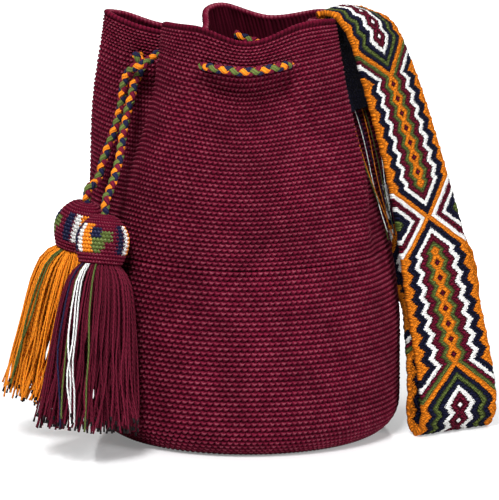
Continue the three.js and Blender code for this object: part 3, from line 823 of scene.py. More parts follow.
def twisted(name, colour, plies, slope, depth):
    """Plied yarn: fine ridges that run round the strand, with painted shade in the grooves between them."""
    f = Finish(name, colour)
    yarn = f.add("ShaderNodeTexWhiteNoise", {"W": f.u.whole()}, noise_dimensions="1D")
    ridge = ((f.u * plies + f.v * slope) * (2 * math.pi)).sine() * 0.5 + 0.5
    height = ridge + f.noise(PLY_FIBRE_SCALE) * PLY_FUZZ
    ridge_weight, patch_weight, yarn_weight = PLY_TONE
    # the ridges paint shade into the grooves between the plies; patches and single yarns vary the yarn's own tone
    tone = (ridge * ridge_weight + f.noise(PLY_PATCH_SCALE) * patch_weight + yarn * yarn_weight).clamped()
    base = f.mix(tone, shade(colour, PLY_DARK), shade(colour, PLY_LIGHT, PLY_LIFT))
    return f.close(base, height, depth, PLY_ROUGHNESS, PLY_SHEEN, shade(colour, *PLY_SHEEN_SHADE)[:3])


def on_ramp(distance):
    return (distance + RAMP_START) / RAMP_SPAN


def woven(name, colours, first_row, last_row):
    """The strap's pattern, worked out from the knots across from its middle, u, and the rows from a crossing, v.
    Its sewn ends, before the first row and after the last one, are plain navy, which also stands in for shade in the
    gap beside the body."""
    f = Finish(name, colours["orange"])
    yarns = [shade(colours[yarn], STRAP_TONES[yarn]) for yarn in YARNS]
    x = abs(f.u)
    knot = knot_height(x, f.v)
    toothed = x + (knot - KNOT_LEVEL) * KNOT_TEETH

    def banded(distance, bands):
        """Colour and height at a distance across bands."""
        at = on_ramp(distance)
        starts = [-RAMP_START] + [edge for edge, _ in bands[:-1]]
        stops = [(on_ramp(start), yarns[yarn]) for start, (_, yarn) in zip(starts, bands)]
        edges = rope_edges(bands)
        ropes = []
        for low, high in zip(edges[:-1], edges[1:]):
            ropes += [(on_ramp(low), (0, 0, 0, 1)), (on_ramp((low + high) / 2), (1, 1, 1, 1))]
        return f.ramp(at, stops, "CONSTANT"), f.ramp(at, ropes)

    past, parts = stretches(f.v)
    looks = []
    for (start, middle, from_eye), (inner, outer, reach, eye, eye_yarn) in zip(parts, STRETCHES):
        in_colour, in_height = banded(toothed - middle, inner)
        out_colour, out_height = banded(toothed - start, outer)
        near = (x + from_eye < eye) * (middle > 0.0)
        beyond = x - start > reach
        in_colour = f.mix(near, in_colour, yarns[eye_yarn])
        looks.append((f.mix(beyond, in_colour, out_colour), f.mix(beyond, in_height, out_height)))
    colour, ropes = (f.mix(past > 0.0, first, second) for first, second in zip(*looks))
    # the sewn ends are plain navy, dark enough to stand in for the shade in the gap between the body and the strap
    sewn = (f.v < first_row).most(f.v > last_row)
    colour = f.mix(sewn, colour, yarns[NAVY])
    height = (ropes * (math.pi / 2)).sine() * (1.0 - KNOT_SHARE + knot * KNOT_SHARE)
    relief_weight, patch_weight = WOVEN_TONE
    tone = (height * relief_weight + f.noise(WOVEN_PATCH_SCALE) * patch_weight).clamped()
    # painted shade between the ropes and knots: pale yarn stays pale there, and dark yarn turns black
    gap_shade = f.mix(1.0, colour, f.add("ShaderNodeRGBToBW", {0: colour}), blend="MULTIPLY")
    base = f.mix(tone, gap_shade, colour)
    fuzzy = height + f.noise(WOVEN_FIBRE_SCALE) * WOVEN_FUZZ
    return f.close(base, fuzzy, WOVEN_BUMP, COTTON_ROUGHNESS, WOVEN_SHEEN, WOVEN_SHEEN_TINT)


SINGED_COLOUR = (0.012, 0.009, 0.01)
SINGED_PLY = (1, 0.5, 0.0002)
# each finish: how it is made, the tones of its yarns that differ from their colour, and its settings: what is left in
# the slits of crochet as painted shade, or the plies of yarn, their slope and the depth of their relief in metres
FINISHES = {
    "crochet": (crochet, {}, (0.03,)),
    # the inside is crochet at half its tone: painted shade for the inside of the bag
    "inside": (crochet, dict.fromkeys(YARNS, 0.5), (0.03,)),
    "cap": (crochet, {}, (0.5,)),
    "braid": (twisted, {}, (5, 0.35, 0.0004)),
    "yarn": (twisted, {"burgundy": 0.72, "orange": 1.08, "green": 0.8}, (2, 1.0, 0.0003)),
}


def palette(context):
    colours = context.scene.bag_colours
    return {name: tuple(getattr(colours, name)) for name in YARNS}


def finishes(context, kind):
    """The five yarns in one finish, made once and kept in the file."""
    make, tones, settings = FINISHES[kind]
    made = []
    for yarn, colour in palette(context).items():
        name = f"{kind}_{yarn}"
        toned = shade(colour, tones.get(yarn, 1.0))[:3]
        made.append(bpy.data.materials.get(name) or make(name, toned, *settings))
    return made


def singed():
    return bpy.data.materials.get("singed_tips") or twisted("singed_tips", SINGED_COLOUR, *SINGED_PLY)


# Settings

class BagSizes(bpy.types.PropertyGroup):
    """Counts and sizes of the yarn work."""
    stitches: IntProperty(name="Stitches", description="Stitches round the body", default=182, min=40)
    upper_rounds: IntProperty(
        name="Upper rounds", description="Crochet rounds from the join up to the rim", default=52, min=4)
    lower_rounds: IntProperty(
        name="Lower rounds", description="Crochet rounds from the base corner up to the join", default=31, min=4)
    join_height: FloatProperty(
        name="Join height", description="Height of the proud round", default=0.137, unit="LENGTH")
    stitch_depth: FloatProperty(
        name="Stitch depth", description="Height of a stitch over the gap between rounds", default=0.0018,
        unit="LENGTH")
    run_pitch: FloatProperty(
        name="Run pitch", description="Length of one turn of the braid's strands in the threaded run",
        default=0.0145, unit="LENGTH")
    end_pitch: FloatProperty(
        name="End pitch", description="Length of one turn of the braid's strands in the hanging ends",
        default=0.014, unit="LENGTH")
    knots: IntProperty(name="Knots", description="Knots across the strap", default=30, min=8)
    knot_row: FloatProperty(
        name="Knot row", description="Length of one row of knots", default=0.0019, unit="LENGTH")
    skirt_yarns: IntProperty(
        name="Skirt yarns", description="Yarns in each tassel's skirt", default=330, min=20)


class BagColours(bpy.types.PropertyGroup):
    """Colours of the five yarns."""
    burgundy: FloatVectorProperty(
        name="Burgundy", description="Body, caps and one tassel", subtype="COLOR", default=(0.135, 0.0055, 0.023))
    orange: FloatVectorProperty(
        name="Orange", description="Other tassel, braid and strap", subtype="COLOR", default=(0.85, 0.225, 0.012))
    navy: FloatVectorProperty(
        name="Navy", description="Braid, strap and cap motif", subtype="COLOR", default=(0.012, 0.013, 0.045))
    white: FloatVectorProperty(
        name="White", description="Lines of the strap and cap motif", subtype="COLOR", default=(0.85, 0.84, 0.82))
    green: FloatVectorProperty(
        name="Green", description="Braid, strap and cap motif", subtype="COLOR", default=(0.11, 0.145, 0.035))


# Pieces

# share of a round's height, and proud of the fabric there: the gap beside a bead, then its two halves
STITCH_RINGS = ((0.0, (-0.75, -0.45, -0.45)), (0.34, (-0.12, 0.3, 0.42)), (0.72, (0.0, 0.5, 0.4)))
GROOVE = STITCH_RINGS[0][1]
BODY_SEED = 11
STITCH_FACES = 3
STITCH_LEAN = 0.5
# how far the edges of a round rise at the gaps between its stitches and sink at the beads, in rounds
STITCH_WAVE = np.array((0.2, -0.08, -0.08))
STITCH_UNEVEN = 0.2
# section of the rolled border: out from the fabric's outer face, and up from the rim
RIM_BORDER = (
    (0.6, -2.2), (0.6, -1.2), (0.2, -0.2), (-0.7, 0.5), (-1.8, 0.7), (-2.9, 0.5), (-3.7, -0.2), (-3.9, -1.2),
    (-3.8, -2.4),
)
# out from the outer face where the inside of the border starts
BORDER_MIDDLE = -1.8
BORDER_DROP = 3.0
# proud of the border and of the inside: the gap beside a bead, then its two halves
BORDER_STITCH = (-0.8, 0.25, 0.25)
INNER_RIB = (0.6, -0.3, -0.3)
ROUNDS_ABOVE_CORD = 8
BASE_ROUNDS = 20
CORNER_ROUNDS = 10
# share of a base round's width, and its height over the floor there
BASE_RINGS = ((0.0, 0.9), (0.5, 0.0))
BASE_MIDDLE_HEIGHT = 0.2
# how far the proud round stands out, and the part of a round between the rings that close a stretch at the join
JOIN_SWELL = 0.6
JOIN_LIP = 0.05
UPPER_INNER_RINGS = 10
LOWER_INNER_RINGS = 8
INNER_CORNER_TURNS = (60, 30, 0)
# place in a round whose tone the ribs of the inside have
INNER_TONE = 0.27
# height of the body from which the drawstring draws the fabric in, and depth and size of the dimples at its gaps
DRAWN_FROM = 0.5
EYELET_DEPTH = 5.5
EYELET_WIDTH = 4.5
EYELET_HEIGHT = 4.0
FRONT_HOLES = (EYELETS[1], EYELETS[2])
# the dent: depth, softness of its sides, depth reached so far below the cord, length of the return, and spread of its
# sides on the way down
DENT_DEPTH = 18.0
DENT_EDGE = 4.0
DENT_FALL = 13.0
DENT_RETURN = 46.0
DENT_SPREAD = 0.4


def below_cord(height):
    return (DRAWSTRING_HEIGHT - height) * WALL_HEIGHT


def eyelet_dimple(share, height):
    """How far the fabric is drawn in round the drawstring's gaps."""
    sunk = np.zeros(np.broadcast(share, height).shape)
    for place in EYELETS:
        aside = round_gap(share, place) / share_of_length(rim_share(place), DRAWSTRING_HEIGHT, 1.0)
        sunk = sunk + np.exp(-(aside / EYELET_WIDTH) ** 2 - (below_cord(height) / EYELET_HEIGHT) ** 2)
    return EYELET_DEPTH * np.minimum(sunk, 1)


def front_dent(share, height):
    """How far the front panel is drawn in below the drawstring: from gap to gap there, and wider further down."""
    left, right = FRONT_HOLES
    length = share_of_length(rim_share(left), DRAWSTRING_HEIGHT, 1.0)
    below = below_cord(height)
    spread = length * DENT_SPREAD * np.maximum(below, 0)
    edge = DENT_EDGE * length
    inside = 1 / (1 + np.exp(-(round_gap(share, left) + spread) / edge))
    inside = inside / (1 + np.exp((round_gap(share, right) - spread) / edge))
    down = np.clip(below / DENT_FALL, 0, 1)
    back = np.exp(-(np.maximum(below - DENT_FALL, 0) / DENT_RETURN) ** 2)
    return DENT_DEPTH * inside * down ** 2 * (3 - 2 * down) * back


class BAG_OT_body(bpy.types.Operator):
    """Crochets the body: an upper and a lower stretch that meet at the proud round"""
    bl_idname = "bag.body"
    bl_label = "Crocheted body"

    def execute(self, context):
        sizes = context.scene.bag_sizes
        self.count = sizes.stitches
        self.depth = sizes.stitch_depth / MM
        column = np.arange(STITCH_FACES * self.count + 1)
        # place of each mesh column in stitches, and whether it is a gap (0) or a half of a bead (1, 2)
        self.place = column / STITCH_FACES
        self.kind = column % STITCH_FACES
        self.rng = np.random.default_rng(BODY_SEED)
        # the inside of the wall gets crochet at half tone, which is painted shade
        self.materials = [finishes(context, kind)[BURGUNDY] for kind in ("crochet", "inside")]
        join = (sizes.join_height / MM - CORNER_RADIUS) / WALL_HEIGHT
        self.upper(join, sizes.upper_rounds)
        self.lower(join, sizes.lower_rounds)
        return {"FINISHED"}

    def start(self):
        self.points, self.rows = [], []

    def push(self, ring, row):
        self.points.append(ring)
        self.rows.append(row)

    def stitched(self, proud):
        return np.array(proud)[self.kind]

    def share(self, rows):
        return (self.place + STITCH_LEAN * rows) / self.count

    def ring(self, height, rows, relief, round_height=0.0):
        """A ring of stitches round the wall."""
        share = self.share(rows)
        relief = relief + self.rng.normal(0, STITCH_UNEVEN, len(self.place)) * (self.kind > 0)
        if height > DRAWN_FROM:
            relief = relief - eyelet_dimple(share, height) - front_dent(share, height)
        return off_fabric(share, height + round_height * self.stitched(STITCH_WAVE), relief)

    def base_ring(self, radius, height, rows=-CORNER_ROUNDS):
        """A ring of stitches round the base or its corner."""
        return around(belly_turn(self.share(rows)), radius, height)

    def turned(self, ring, rounds):
        """A closed ring that starts as far round as a column leans over the rounds."""
        steps = STITCH_FACES * int(STITCH_LEAN * rounds)
        rolled = np.roll(ring[:-1], -steps, axis=0)
        return np.vstack([rolled, rolled[:1]])

    def upper(self, join, rounds):
        self.start()
        top = 1 - BORDER_DROP / WALL_HEIGHT
        groove = self.stitched(GROOVE) * self.depth

        def level(row):
            return np.interp(row, (0, rounds - ROUNDS_ABOVE_CORD, rounds), (join, DRAWSTRING_HEIGHT, top))

        for r in range(rounds):
            for phase, proud in STITCH_RINGS:
                row = r + phase
                round_height = level(r + 1) - level(r) if row > 0 else 0.0
                self.push(self.ring(level(row), row, self.stitched(proud) * self.depth, round_height), row)
                if row == 0:
                    self.push(self.ring(level(JOIN_LIP), JOIN_LIP, groove), JOIN_LIP)
        self.push(self.ring(top, rounds, groove), rounds)
        for k, (out, lift) in enumerate(RIM_BORDER):
            along = (k + 1) / (len(RIM_BORDER) + 1)
            way = 1 if out > BORDER_MIDDLE else -1
            ring = self.ring(1.0, rounds, out + way * self.stitched(BORDER_STITCH))
            self.push(ring + (0, 0, lift), rounds + along)
        inside = len(self.points)
        for k in range(UPPER_INNER_RINGS, -1, -1):
            height = join + (top - join) * k / UPPER_INNER_RINGS
            self.push(self.ring(height, rounds, self.stitched(INNER_RIB) - WALL), rounds + 1)
        self.push(self.turned(self.points[0], rounds), rounds + 1)
        self.make("body_upper", inside, "bag_body")

    def lower(self, join, rounds):
        self.start()
        for r in range(BASE_ROUNDS):
            for phase, height in BASE_RINGS:
                radius = BASE_RADIUS * (r + phase) / BASE_ROUNDS
                self.push(self.base_ring(radius, height if r else BASE_MIDDLE_HEIGHT), r + phase)
        for r in range(CORNER_ROUNDS):
            for phase, proud in STITCH_RINGS:
                wave = self.stitched(STITCH_WAVE) if r else 0.0
                turn = math.pi / 2 * (r + phase + wave) / CORNER_ROUNDS
                out = CORNER_RADIUS + self.stitched(proud) * self.depth
                height = np.maximum(CORNER_RADIUS - out * np.cos(turn), 0.0)
                ring = self.base_ring(BASE_RADIUS + out * np.sin(turn), height, r + phase - CORNER_ROUNDS)
                self.push(ring, BASE_ROUNDS + r + phase)
        start = BASE_ROUNDS + CORNER_ROUNDS
        for r in range(rounds):
            for phase, proud in STITCH_RINGS:
                row = r + phase
                swell = JOIN_SWELL if r == rounds - 1 and phase else 0.0
                relief = self.stitched(proud) * self.depth + swell
                self.push(self.ring(join * row / rounds, row, relief, join / rounds), start + row)
        for row in (rounds - JOIN_LIP, rounds):
            self.push(self.ring(join * row / rounds, row, self.stitched(GROOVE) * self.depth), start + row)
        inside = len(self.points)
        end = start + rounds
        for k in range(LOWER_INNER_RINGS, -1, -1):
            self.push(self.ring(join * k / LOWER_INNER_RINGS, rounds * k / LOWER_INNER_RINGS, -WALL), end)
        for turn in np.radians(INNER_CORNER_TURNS):
            reach = BASE_RADIUS + (CORNER_RADIUS - WALL) * math.sin(turn)
            self.push(self.base_ring(reach, CORNER_RADIUS - (CORNER_RADIUS - WALL) * math.cos(turn)), end)
        for radius in (BASE_RADIUS / 2, 0):
            self.push(self.base_ring(radius, WALL), end)
        self.make("body_lower", inside)

    def make(self, name, inside, *replaced):
        """Builds the sheet. Faces from the ring called inside on show upright ribs and no rounds."""
        row_of = np.array(self.rows, float)

        def uv(row, column, face_row):
            return self.place[column], np.where(face_row >= inside - 1, INNER_TONE, row_of[row])

        def index(row, column):
            return np.where(row >= inside - 1, 1, 0)

        obj = sheet_piece(name, np.array(self.points), uv, self.materials, index)
        finish_piece(obj, "burgundy_crochet", *replaced)


# strands of the braid: yarn, way round and start
BRAID = (("orange", 1, 0.0), ("green", 1, math.pi), ("navy", -1, 0.0), ("burgundy", -1, math.pi))
BRAID_REACH = 1.5
BRAID_WEAVE = 0.65
BRAID_STEP = 0.8
STRAND_HALF_WIDTH = 2.0
STRAND_FLATNESS = 0.65
STRAND_SIDES = 10
PLY_LENGTH = 8.0
# part of a turn that the strands have done where the threaded run begins
RUN_START = 0.5


def braid_groups(line, pitch, start=0.0):
    """Four strands plaited round a line: two turn one way, two the other, over and under by turns.
    start is the part of a turn that they have done where the line begins."""
    normal, side = (directions[0] for directions in tube_frames(line[None]))
    run = run_lengths(line) + start * pitch
    groups = []
    for colour, way, place in BRAID:
        turn = way * 2 * np.pi * run / pitch + place
        weave = way * np.cos(4 * np.pi * run / pitch)
        out = normal * np.cos(turn)[:, None] + side * np.sin(turn)[:, None]
        strand = line + (BRAID_REACH + BRAID_WEAVE * weave)[:, None] * out
        groups.append((strand[None], STRAND_HALF_WIDTH, STRAND_SIDES, YARNS.index(colour), PLY_LENGTH,
                       out[None], STRAND_FLATNESS))
    return groups


class BAG_OT_drawstring(bpy.types.Operator):
    """Plaits the drawstring: the threaded run and its two hanging ends"""
    bl_idname = "bag.drawstring"
    bl_label = "Braided drawstring"

    cords = {}

    def execute(self, context):
        sizes = context.scene.bag_sizes
        materials = finishes(context, "braid")
        run = drawstring_points()
        groups = braid_groups(even_line(run, BRAID_STEP), sizes.run_pitch / MM, RUN_START)
        finish_piece(strand_piece("drawstring_braid", groups, materials), "braided_cord", "drawstring")
        for colour in ("burgundy", "orange"):
            line = even_line(tail_points(colour, run), BRAID_STEP)
            obj = strand_piece(f"{colour}_cord_braid", braid_groups(line, sizes.end_pitch / MM), materials)
            finish_piece(obj, "braided_cord", f"{colour}_cord_end")
            self.cords[colour] = (obj, line)
        return {"FINISHED"}


CAP_STITCHES = 44
CAP_ROUNDS = 16
CAP_FACES = 4
CAP_SAMPLES = 400
# start of a cap's outline beside the cord, as shares of its radius and half its height
CAP_HOLE = (0.18, 0.97)
# height of a cap's stitches, what is left of it between them, how square a round is, and how far all are sunk
CAP_STITCH_DEPTH = 1.0
CAP_STITCH_LEFT = 0.45
CAP_SQUARENESS = 0.7
CAP_SINK = 0.5
# how far the edges of a cap's round rise and sink, and place in a round whose tone the inside has
CAP_WAVE = 0.5
CAP_INNER_TONE = 0.5
MOTIF_STITCHES = 11
MOTIF_REPEATS = 3
# stitch of each cap at which its motif's white column starts
MOTIF_STARTS = {"burgundy": 18.7, "orange": 22.9}
# blocks of the motif: first and last stitch, first and last round, yarn
MOTIF = (
    (0.3, 1.7, 5, 13, WHITE), (1.7, 4.1, 5, 13, ORANGE), (3.5, 5.9, 6, 9, NAVY), (5.9, 8, 7, 10, GREEN),
    (4, 6.6, 9, 12, GREEN), (4.4, 5.9, 12, 13, GREEN), (9.3, 11, 5, 13, NAVY),
)
MOTIF_SWAY = 0.9

TASSEL_SEED = 40
YARN_RADIUS = 0.67
YARN_TWIST = 4.0
YARN_SIDES = 5
SKIRT_STEPS = 13
STEP_POWER = 1.2
# share of the skirt's yarns and of its radius, from the outside in
SKIRT_LAYERS = ((0.26, 1.0), (0.28, 0.9), (0.26, 0.76), (0.2, 0.56))
# shares of the skirt's length, and of its spread there
SKIRT_LEVELS = (0, 0.05, 0.1, 0.24, 0.47, 0.8, 1)
SKIRT_SPREADS = {
    "burgundy": (0.12, 0.32, 0.46, 0.61, 0.75, 0.9, 1), "orange": (0.12, 0.48, 0.68, 0.86, 0.95, 0.98, 1),
}
MOUTH_GAP = 1.0
HEM_SPREAD = 3.5
# height in the cap at which the yarns are bound
BOUND_HEIGHT = 9.0
# unevenness of the yarns: turns at the neck and the hem, reach, length and swing
NECK_UNEVEN = 0.02
HEM_UNEVEN = 0.05
REACHES = (0.9, 1.0)
LENGTHS = (0.93, 1.03)
SWINGS = (0.3, 1.0)
# waves of the yarns, in millimetres and radians over their length: a long and a short one to the side, one inwards
SIDE_WAVE = (4.8, 6.5)
SHORT_WAVE = (1.6, 14)
INWARD_WAVE = (3.4, 5)
# least radius on which a wave to the side turns a yarn
LEAST_REACH = 8
# tufts round the hem, how far the yarns are drawn to them, and their shift from layer to layer
CLUMPS = 26
CLUMP_PULL = 0.6
CLUMP_SHIFT = 0.9
CLUMP_SHIFT_RATE = 3
# share of the yarns with singed tips, length of a tip as a share of the last step, and its thickness in yarns
SINGED_SHARE = 0.6
TIP_LENGTH = 0.25
TIP_THICKNESS = 1.2
# yarns of other colours in each skirt: turn at the top and at the hem in degrees, how many, yarn
ODD_YARNS = {
    "burgundy": (
        (233, 254, 3, WHITE), (226, 246, 1, GREEN), (259, 271, 1, GREEN), (212, 237, 1, NAVY),
    ),
    "orange": ((222, 216, 1, GREEN), (228, 221, 1, GREEN)),
}
# degrees between them at the hem, how much more at the top, the reach they are chosen from, and the one they get
ODD_GAP = 3.6
ODD_TOP_SPREAD = 1.5
ODD_FROM = 0.9
ODD_REACH = 1.03

BINDING_RADIUS = 0.9
BINDING_TURNS = 4
BINDING_GAP = 1.1
BINDING_FOOT = 5.2
BINDING_LENGTH = 3.0
BINDING_POINTS = 120
BINDING_SIDES = 6


def cap_motif(stitch, round_):
    """Yarn of a cap's stitch: columns and stepped blocks that repeat three times round the cap."""
    place = stitch % MOTIF_STITCHES
    yarn = np.full(np.broadcast(place, round_).shape, BURGUNDY)
    for first, last, top, bottom, colour in MOTIF:
        yarn = np.where((place >= first) & (place < last) & (round_ >= top) & (round_ < bottom), colour, yarn)
    return yarn


def local_frame(up):
    """Directions that +X, +Y and +Z take when +Z is turned to up the shortest way."""
    turn = Vector((0, 0, 1)).rotation_difference(Vector(up))
    return np.array([turn @ Vector(axis) for axis in ((1, 0, 0), (0, 1, 0), (0, 0, 1))])


class BAG_OT_tassels(bpy.types.Operator):
    """Makes both tassels: crocheted caps, bound necks and skirts of loose yarn"""
    bl_idname = "bag.tassels"
    bl_label = "Tassels"

    made = {}

    def execute(self, context):
        for number, colour in enumerate(("burgundy", "orange")):
            self.head, up = TASSELS[colour]
            self.axes = local_frame(up)
            cap = self.cap(context, colour)
            skirt = self.skirt(context, colour, np.random.default_rng(TASSEL_SEED + number))
            binding = self.binding(context, colour)
            self.made[colour] = [cap, skirt, binding]
        return {"FINISHED"}

    def place(self, points):
        return self.head + points @ self.axes

    def cap(self, context, colour):
        outline = np.vstack([[CAP_HOLE], CAP_OUTLINE]) * (CAP_RADIUS, CAP_TOP)
        line = smooth_curve(np.column_stack([outline, np.zeros(len(outline))]), np.linspace(0, 1, CAP_SAMPLES))
        outer = even_steps(line[:, :2], CAP_ROUNDS * CAP_FACES + 1)
        way = unit(np.gradient(outer, axis=0))
        out = np.stack([-way[:, 1], way[:, 0]], -1)
        stitch = np.arange(CAP_STITCHES * CAP_FACES + 1) / CAP_FACES
        turn = 2 * np.pi * stitch / CAP_STITCHES
        rounds = np.arange(len(outer)) / CAP_FACES
        leaning = np.pi * (stitch[None] + STITCH_LEAN * rounds[:, None])
        lobes = CAP_STITCH_LEFT + (1 - CAP_STITCH_LEFT) * np.abs(np.sin(leaning))
        swell = np.sin(np.pi * (rounds % 1)) ** CAP_SQUARENESS
        proud = CAP_STITCH_DEPTH * swell[:, None] * lobes - CAP_SINK
        inner = outer[::-CAP_FACES] - out[::-CAP_FACES] * CAP_WALL
        inner[:, 0] = np.maximum(inner[:, 0], CORD_RADIUS + FIT_GAP)
        shift = CAP_WAVE * np.cos(2 * leaning)
        shift[[0, -1]] = 0
        rings = [around(turn, o[0] + d[0] * p + w[0] * s, o[1] + d[1] * p + w[1] * s)
                 for o, d, w, p, s in zip(outer, out, way, proud, shift)]
        rings += [around(turn, r, z) for r, z in inner]
        rings.append(rings[0])
        total = len(rings)
        first_outer = total - len(outer)
        round_of = np.concatenate([rounds, np.full(first_outer, CAP_ROUNDS)])[::-1]

        def uv(row, column, face_row):
            v = np.where(face_row < first_outer, CAP_INNER_TONE, CAP_ROUNDS - round_of[row])
            return stitch[column] + STITCH_LEAN * round_of[row], v

        def index(row, column):
            middle = (round_of[row] + round_of[np.minimum(row + 1, total - 1)]) / 2
            # the stitches of a round lean, so a block's edges are toothed
            lean = MOTIF_SWAY * (np.abs(2 * (middle % 1) - 1) - 0.5)
            across = (column + 0.5) / CAP_FACES * MOTIF_STITCHES * MOTIF_REPEATS / CAP_STITCHES
            yarn = cap_motif(across - MOTIF_STARTS[colour] + lean, np.floor(middle))
            return np.where(row >= first_outer, yarn, BURGUNDY)

        points = self.place(np.array(rings)[::-1])
        obj = sheet_piece(f"{colour}_crocheted_cap", points, uv, finishes(context, "cap"), index)
        return finish_piece(obj, "burgundy_crochet", f"{colour}_tassel_cap")

    def skirt(self, context, colour, rng):
        length, hem_radius = SKIRTS[colour]
        layers = [(int(context.scene.bag_sizes.skirt_yarns * part), reach) for part, reach in SKIRT_LAYERS]
        layer = np.concatenate([np.full(count, reach) for count, reach in layers])
        turn = np.concatenate([2 * np.pi * (np.arange(count) + rng.uniform(0, 1)) / count for count, _ in layers])
        count = len(turn)
        yarn = np.full(count, YARNS.index(colour))
        turn = turn + rng.normal(0, NECK_UNEVEN, count)
        clump = 2 * np.pi / CLUMPS
        shift = CLUMP_SHIFT * np.sin(CLUMP_SHIFT_RATE * layer)
        pull = (np.round(turn / clump + shift) - shift) * clump - turn
        hem_turn = turn + CLUMP_PULL * pull + rng.normal(0, HEM_UNEVEN, count)
        layer = layer * rng.uniform(*REACHES, count)
        self.odd_yarns(colour, turn, hem_turn, yarn, layer)
        s = np.linspace(0, 1, SKIRT_STEPS)[None] ** STEP_POWER
        mouth = CAP_OUTLINE[-1, 0] * CAP_RADIUS - CAP_WALL - MOUTH_GAP
        radius = (mouth + (hem_radius - mouth) * np.interp(s, SKIRT_LEVELS, SKIRT_SPREADS[colour])) * layer[:, None]
        phase = rng.uniform(0, 2 * np.pi, (count, 4))
        swing = rng.uniform(*SWINGS, (count, 2))

        def waving(wave, number):
            return s ** 2 * wave[0] * np.sin(wave[1] * s + phase[:, number, None])

        aside = waving(SIDE_WAVE, 0) * swing[:, :1] + waving(SHORT_WAVE, 1)
        inward = waving(INWARD_WAVE, 2) * swing[:, 1:]
        radius = np.clip(radius + inward, 0, hem_radius + HEM_SPREAD)
        angle = turn[:, None] + (hem_turn - turn)[:, None] * s + aside / np.maximum(radius, LEAST_REACH)
        height = CAP_BOTTOM - s * (length * rng.uniform(*LENGTHS, count))[:, None]
        top = around(turn, layer * (NECK_RADIUS - YARN_RADIUS), CAP_BOTTOM + BOUND_HEIGHT)
        lines = self.place(np.concatenate([top[:, None], around(angle, radius, height)], 1))
        material = np.repeat(yarn[:, None], SKIRT_STEPS, 1)
        material[:, -1] = np.where(rng.uniform(0, 1, count) < SINGED_SHARE, len(YARNS), material[:, -1])
        # the last step is only the tip
        lines[:, -2] = lines[:, -1] + (lines[:, -2] - lines[:, -1]) * TIP_LENGTH
        thick = np.full((count, SKIRT_STEPS + 1), YARN_RADIUS)
        thick[:, -1] = TIP_THICKNESS * YARN_RADIUS
        materials = finishes(context, "yarn") + [singed()]
        obj = strand_piece(f"{colour}_yarn_skirt", [(lines, thick, YARN_SIDES, material, YARN_TWIST)], materials)
        return finish_piece(obj, f"{colour}_yarn", f"{colour}_tassel_skirt")

    def odd_yarns(self, colour, turn, hem_turn, yarn, layer):
        """Gives the yarns nearest to each wanted turn another colour and lays them side by side on top."""
        free = layer > ODD_FROM
        for top, hem, how_many, name in ODD_YARNS[colour]:
            gap = np.abs((np.degrees(turn) - top + 180) % 360 - 180)
            chosen = np.argsort(np.where(free, gap, np.inf))[:how_many]
            spread = (np.arange(how_many) - (how_many - 1) / 2) * ODD_GAP
            turn[chosen] = np.radians(top + spread * ODD_TOP_SPREAD)
            hem_turn[chosen] = np.radians(hem + spread)
            yarn[chosen] = name
            layer[chosen] = ODD_REACH
            free[chosen] = False

    def binding(self, context, colour):
        t = np.linspace(0, 1, BINDING_POINTS)
        height = CAP_BOTTOM + BINDING_FOOT + BINDING_LENGTH * t
        coil = around(2 * np.pi * BINDING_TURNS * t, NECK_RADIUS + FIT_GAP + BINDING_GAP, height)
        strands = [(self.place(coil)[None], BINDING_RADIUS, BINDING_SIDES, NAVY, YARN_TWIST)]
        obj = strand_piece(f"{colour}_neck_binding", strands, finishes(context, "yarn"))
        return finish_piece(obj, "navy_yarn", f"{colour}_tassel_binding")


# run of the strap from its right sewn end to the crossing that shows
CROSSING_RUN = 257.3
# length of the rows above the crossing, which lie closer
ROW_ABOVE = 0.98
STRAP_SAMPLES = 3000
# the strap's middle layer to each side, what is added to it at the back, and the relief of ropes and knots
STRAP_CORE = 1.15
STRAP_BACK = 0.5
ROPE_DEPTH = 0.65
KNOT_DEPTH = 0.45
# length of the plain navy rows between a sewn end and the pattern, which also stand in for shade beside the body
PLAIN_LENGTH = 9.0
# share of the width by which the strap's edges follow the zigzag
EDGE_SCALLOP = 0.015


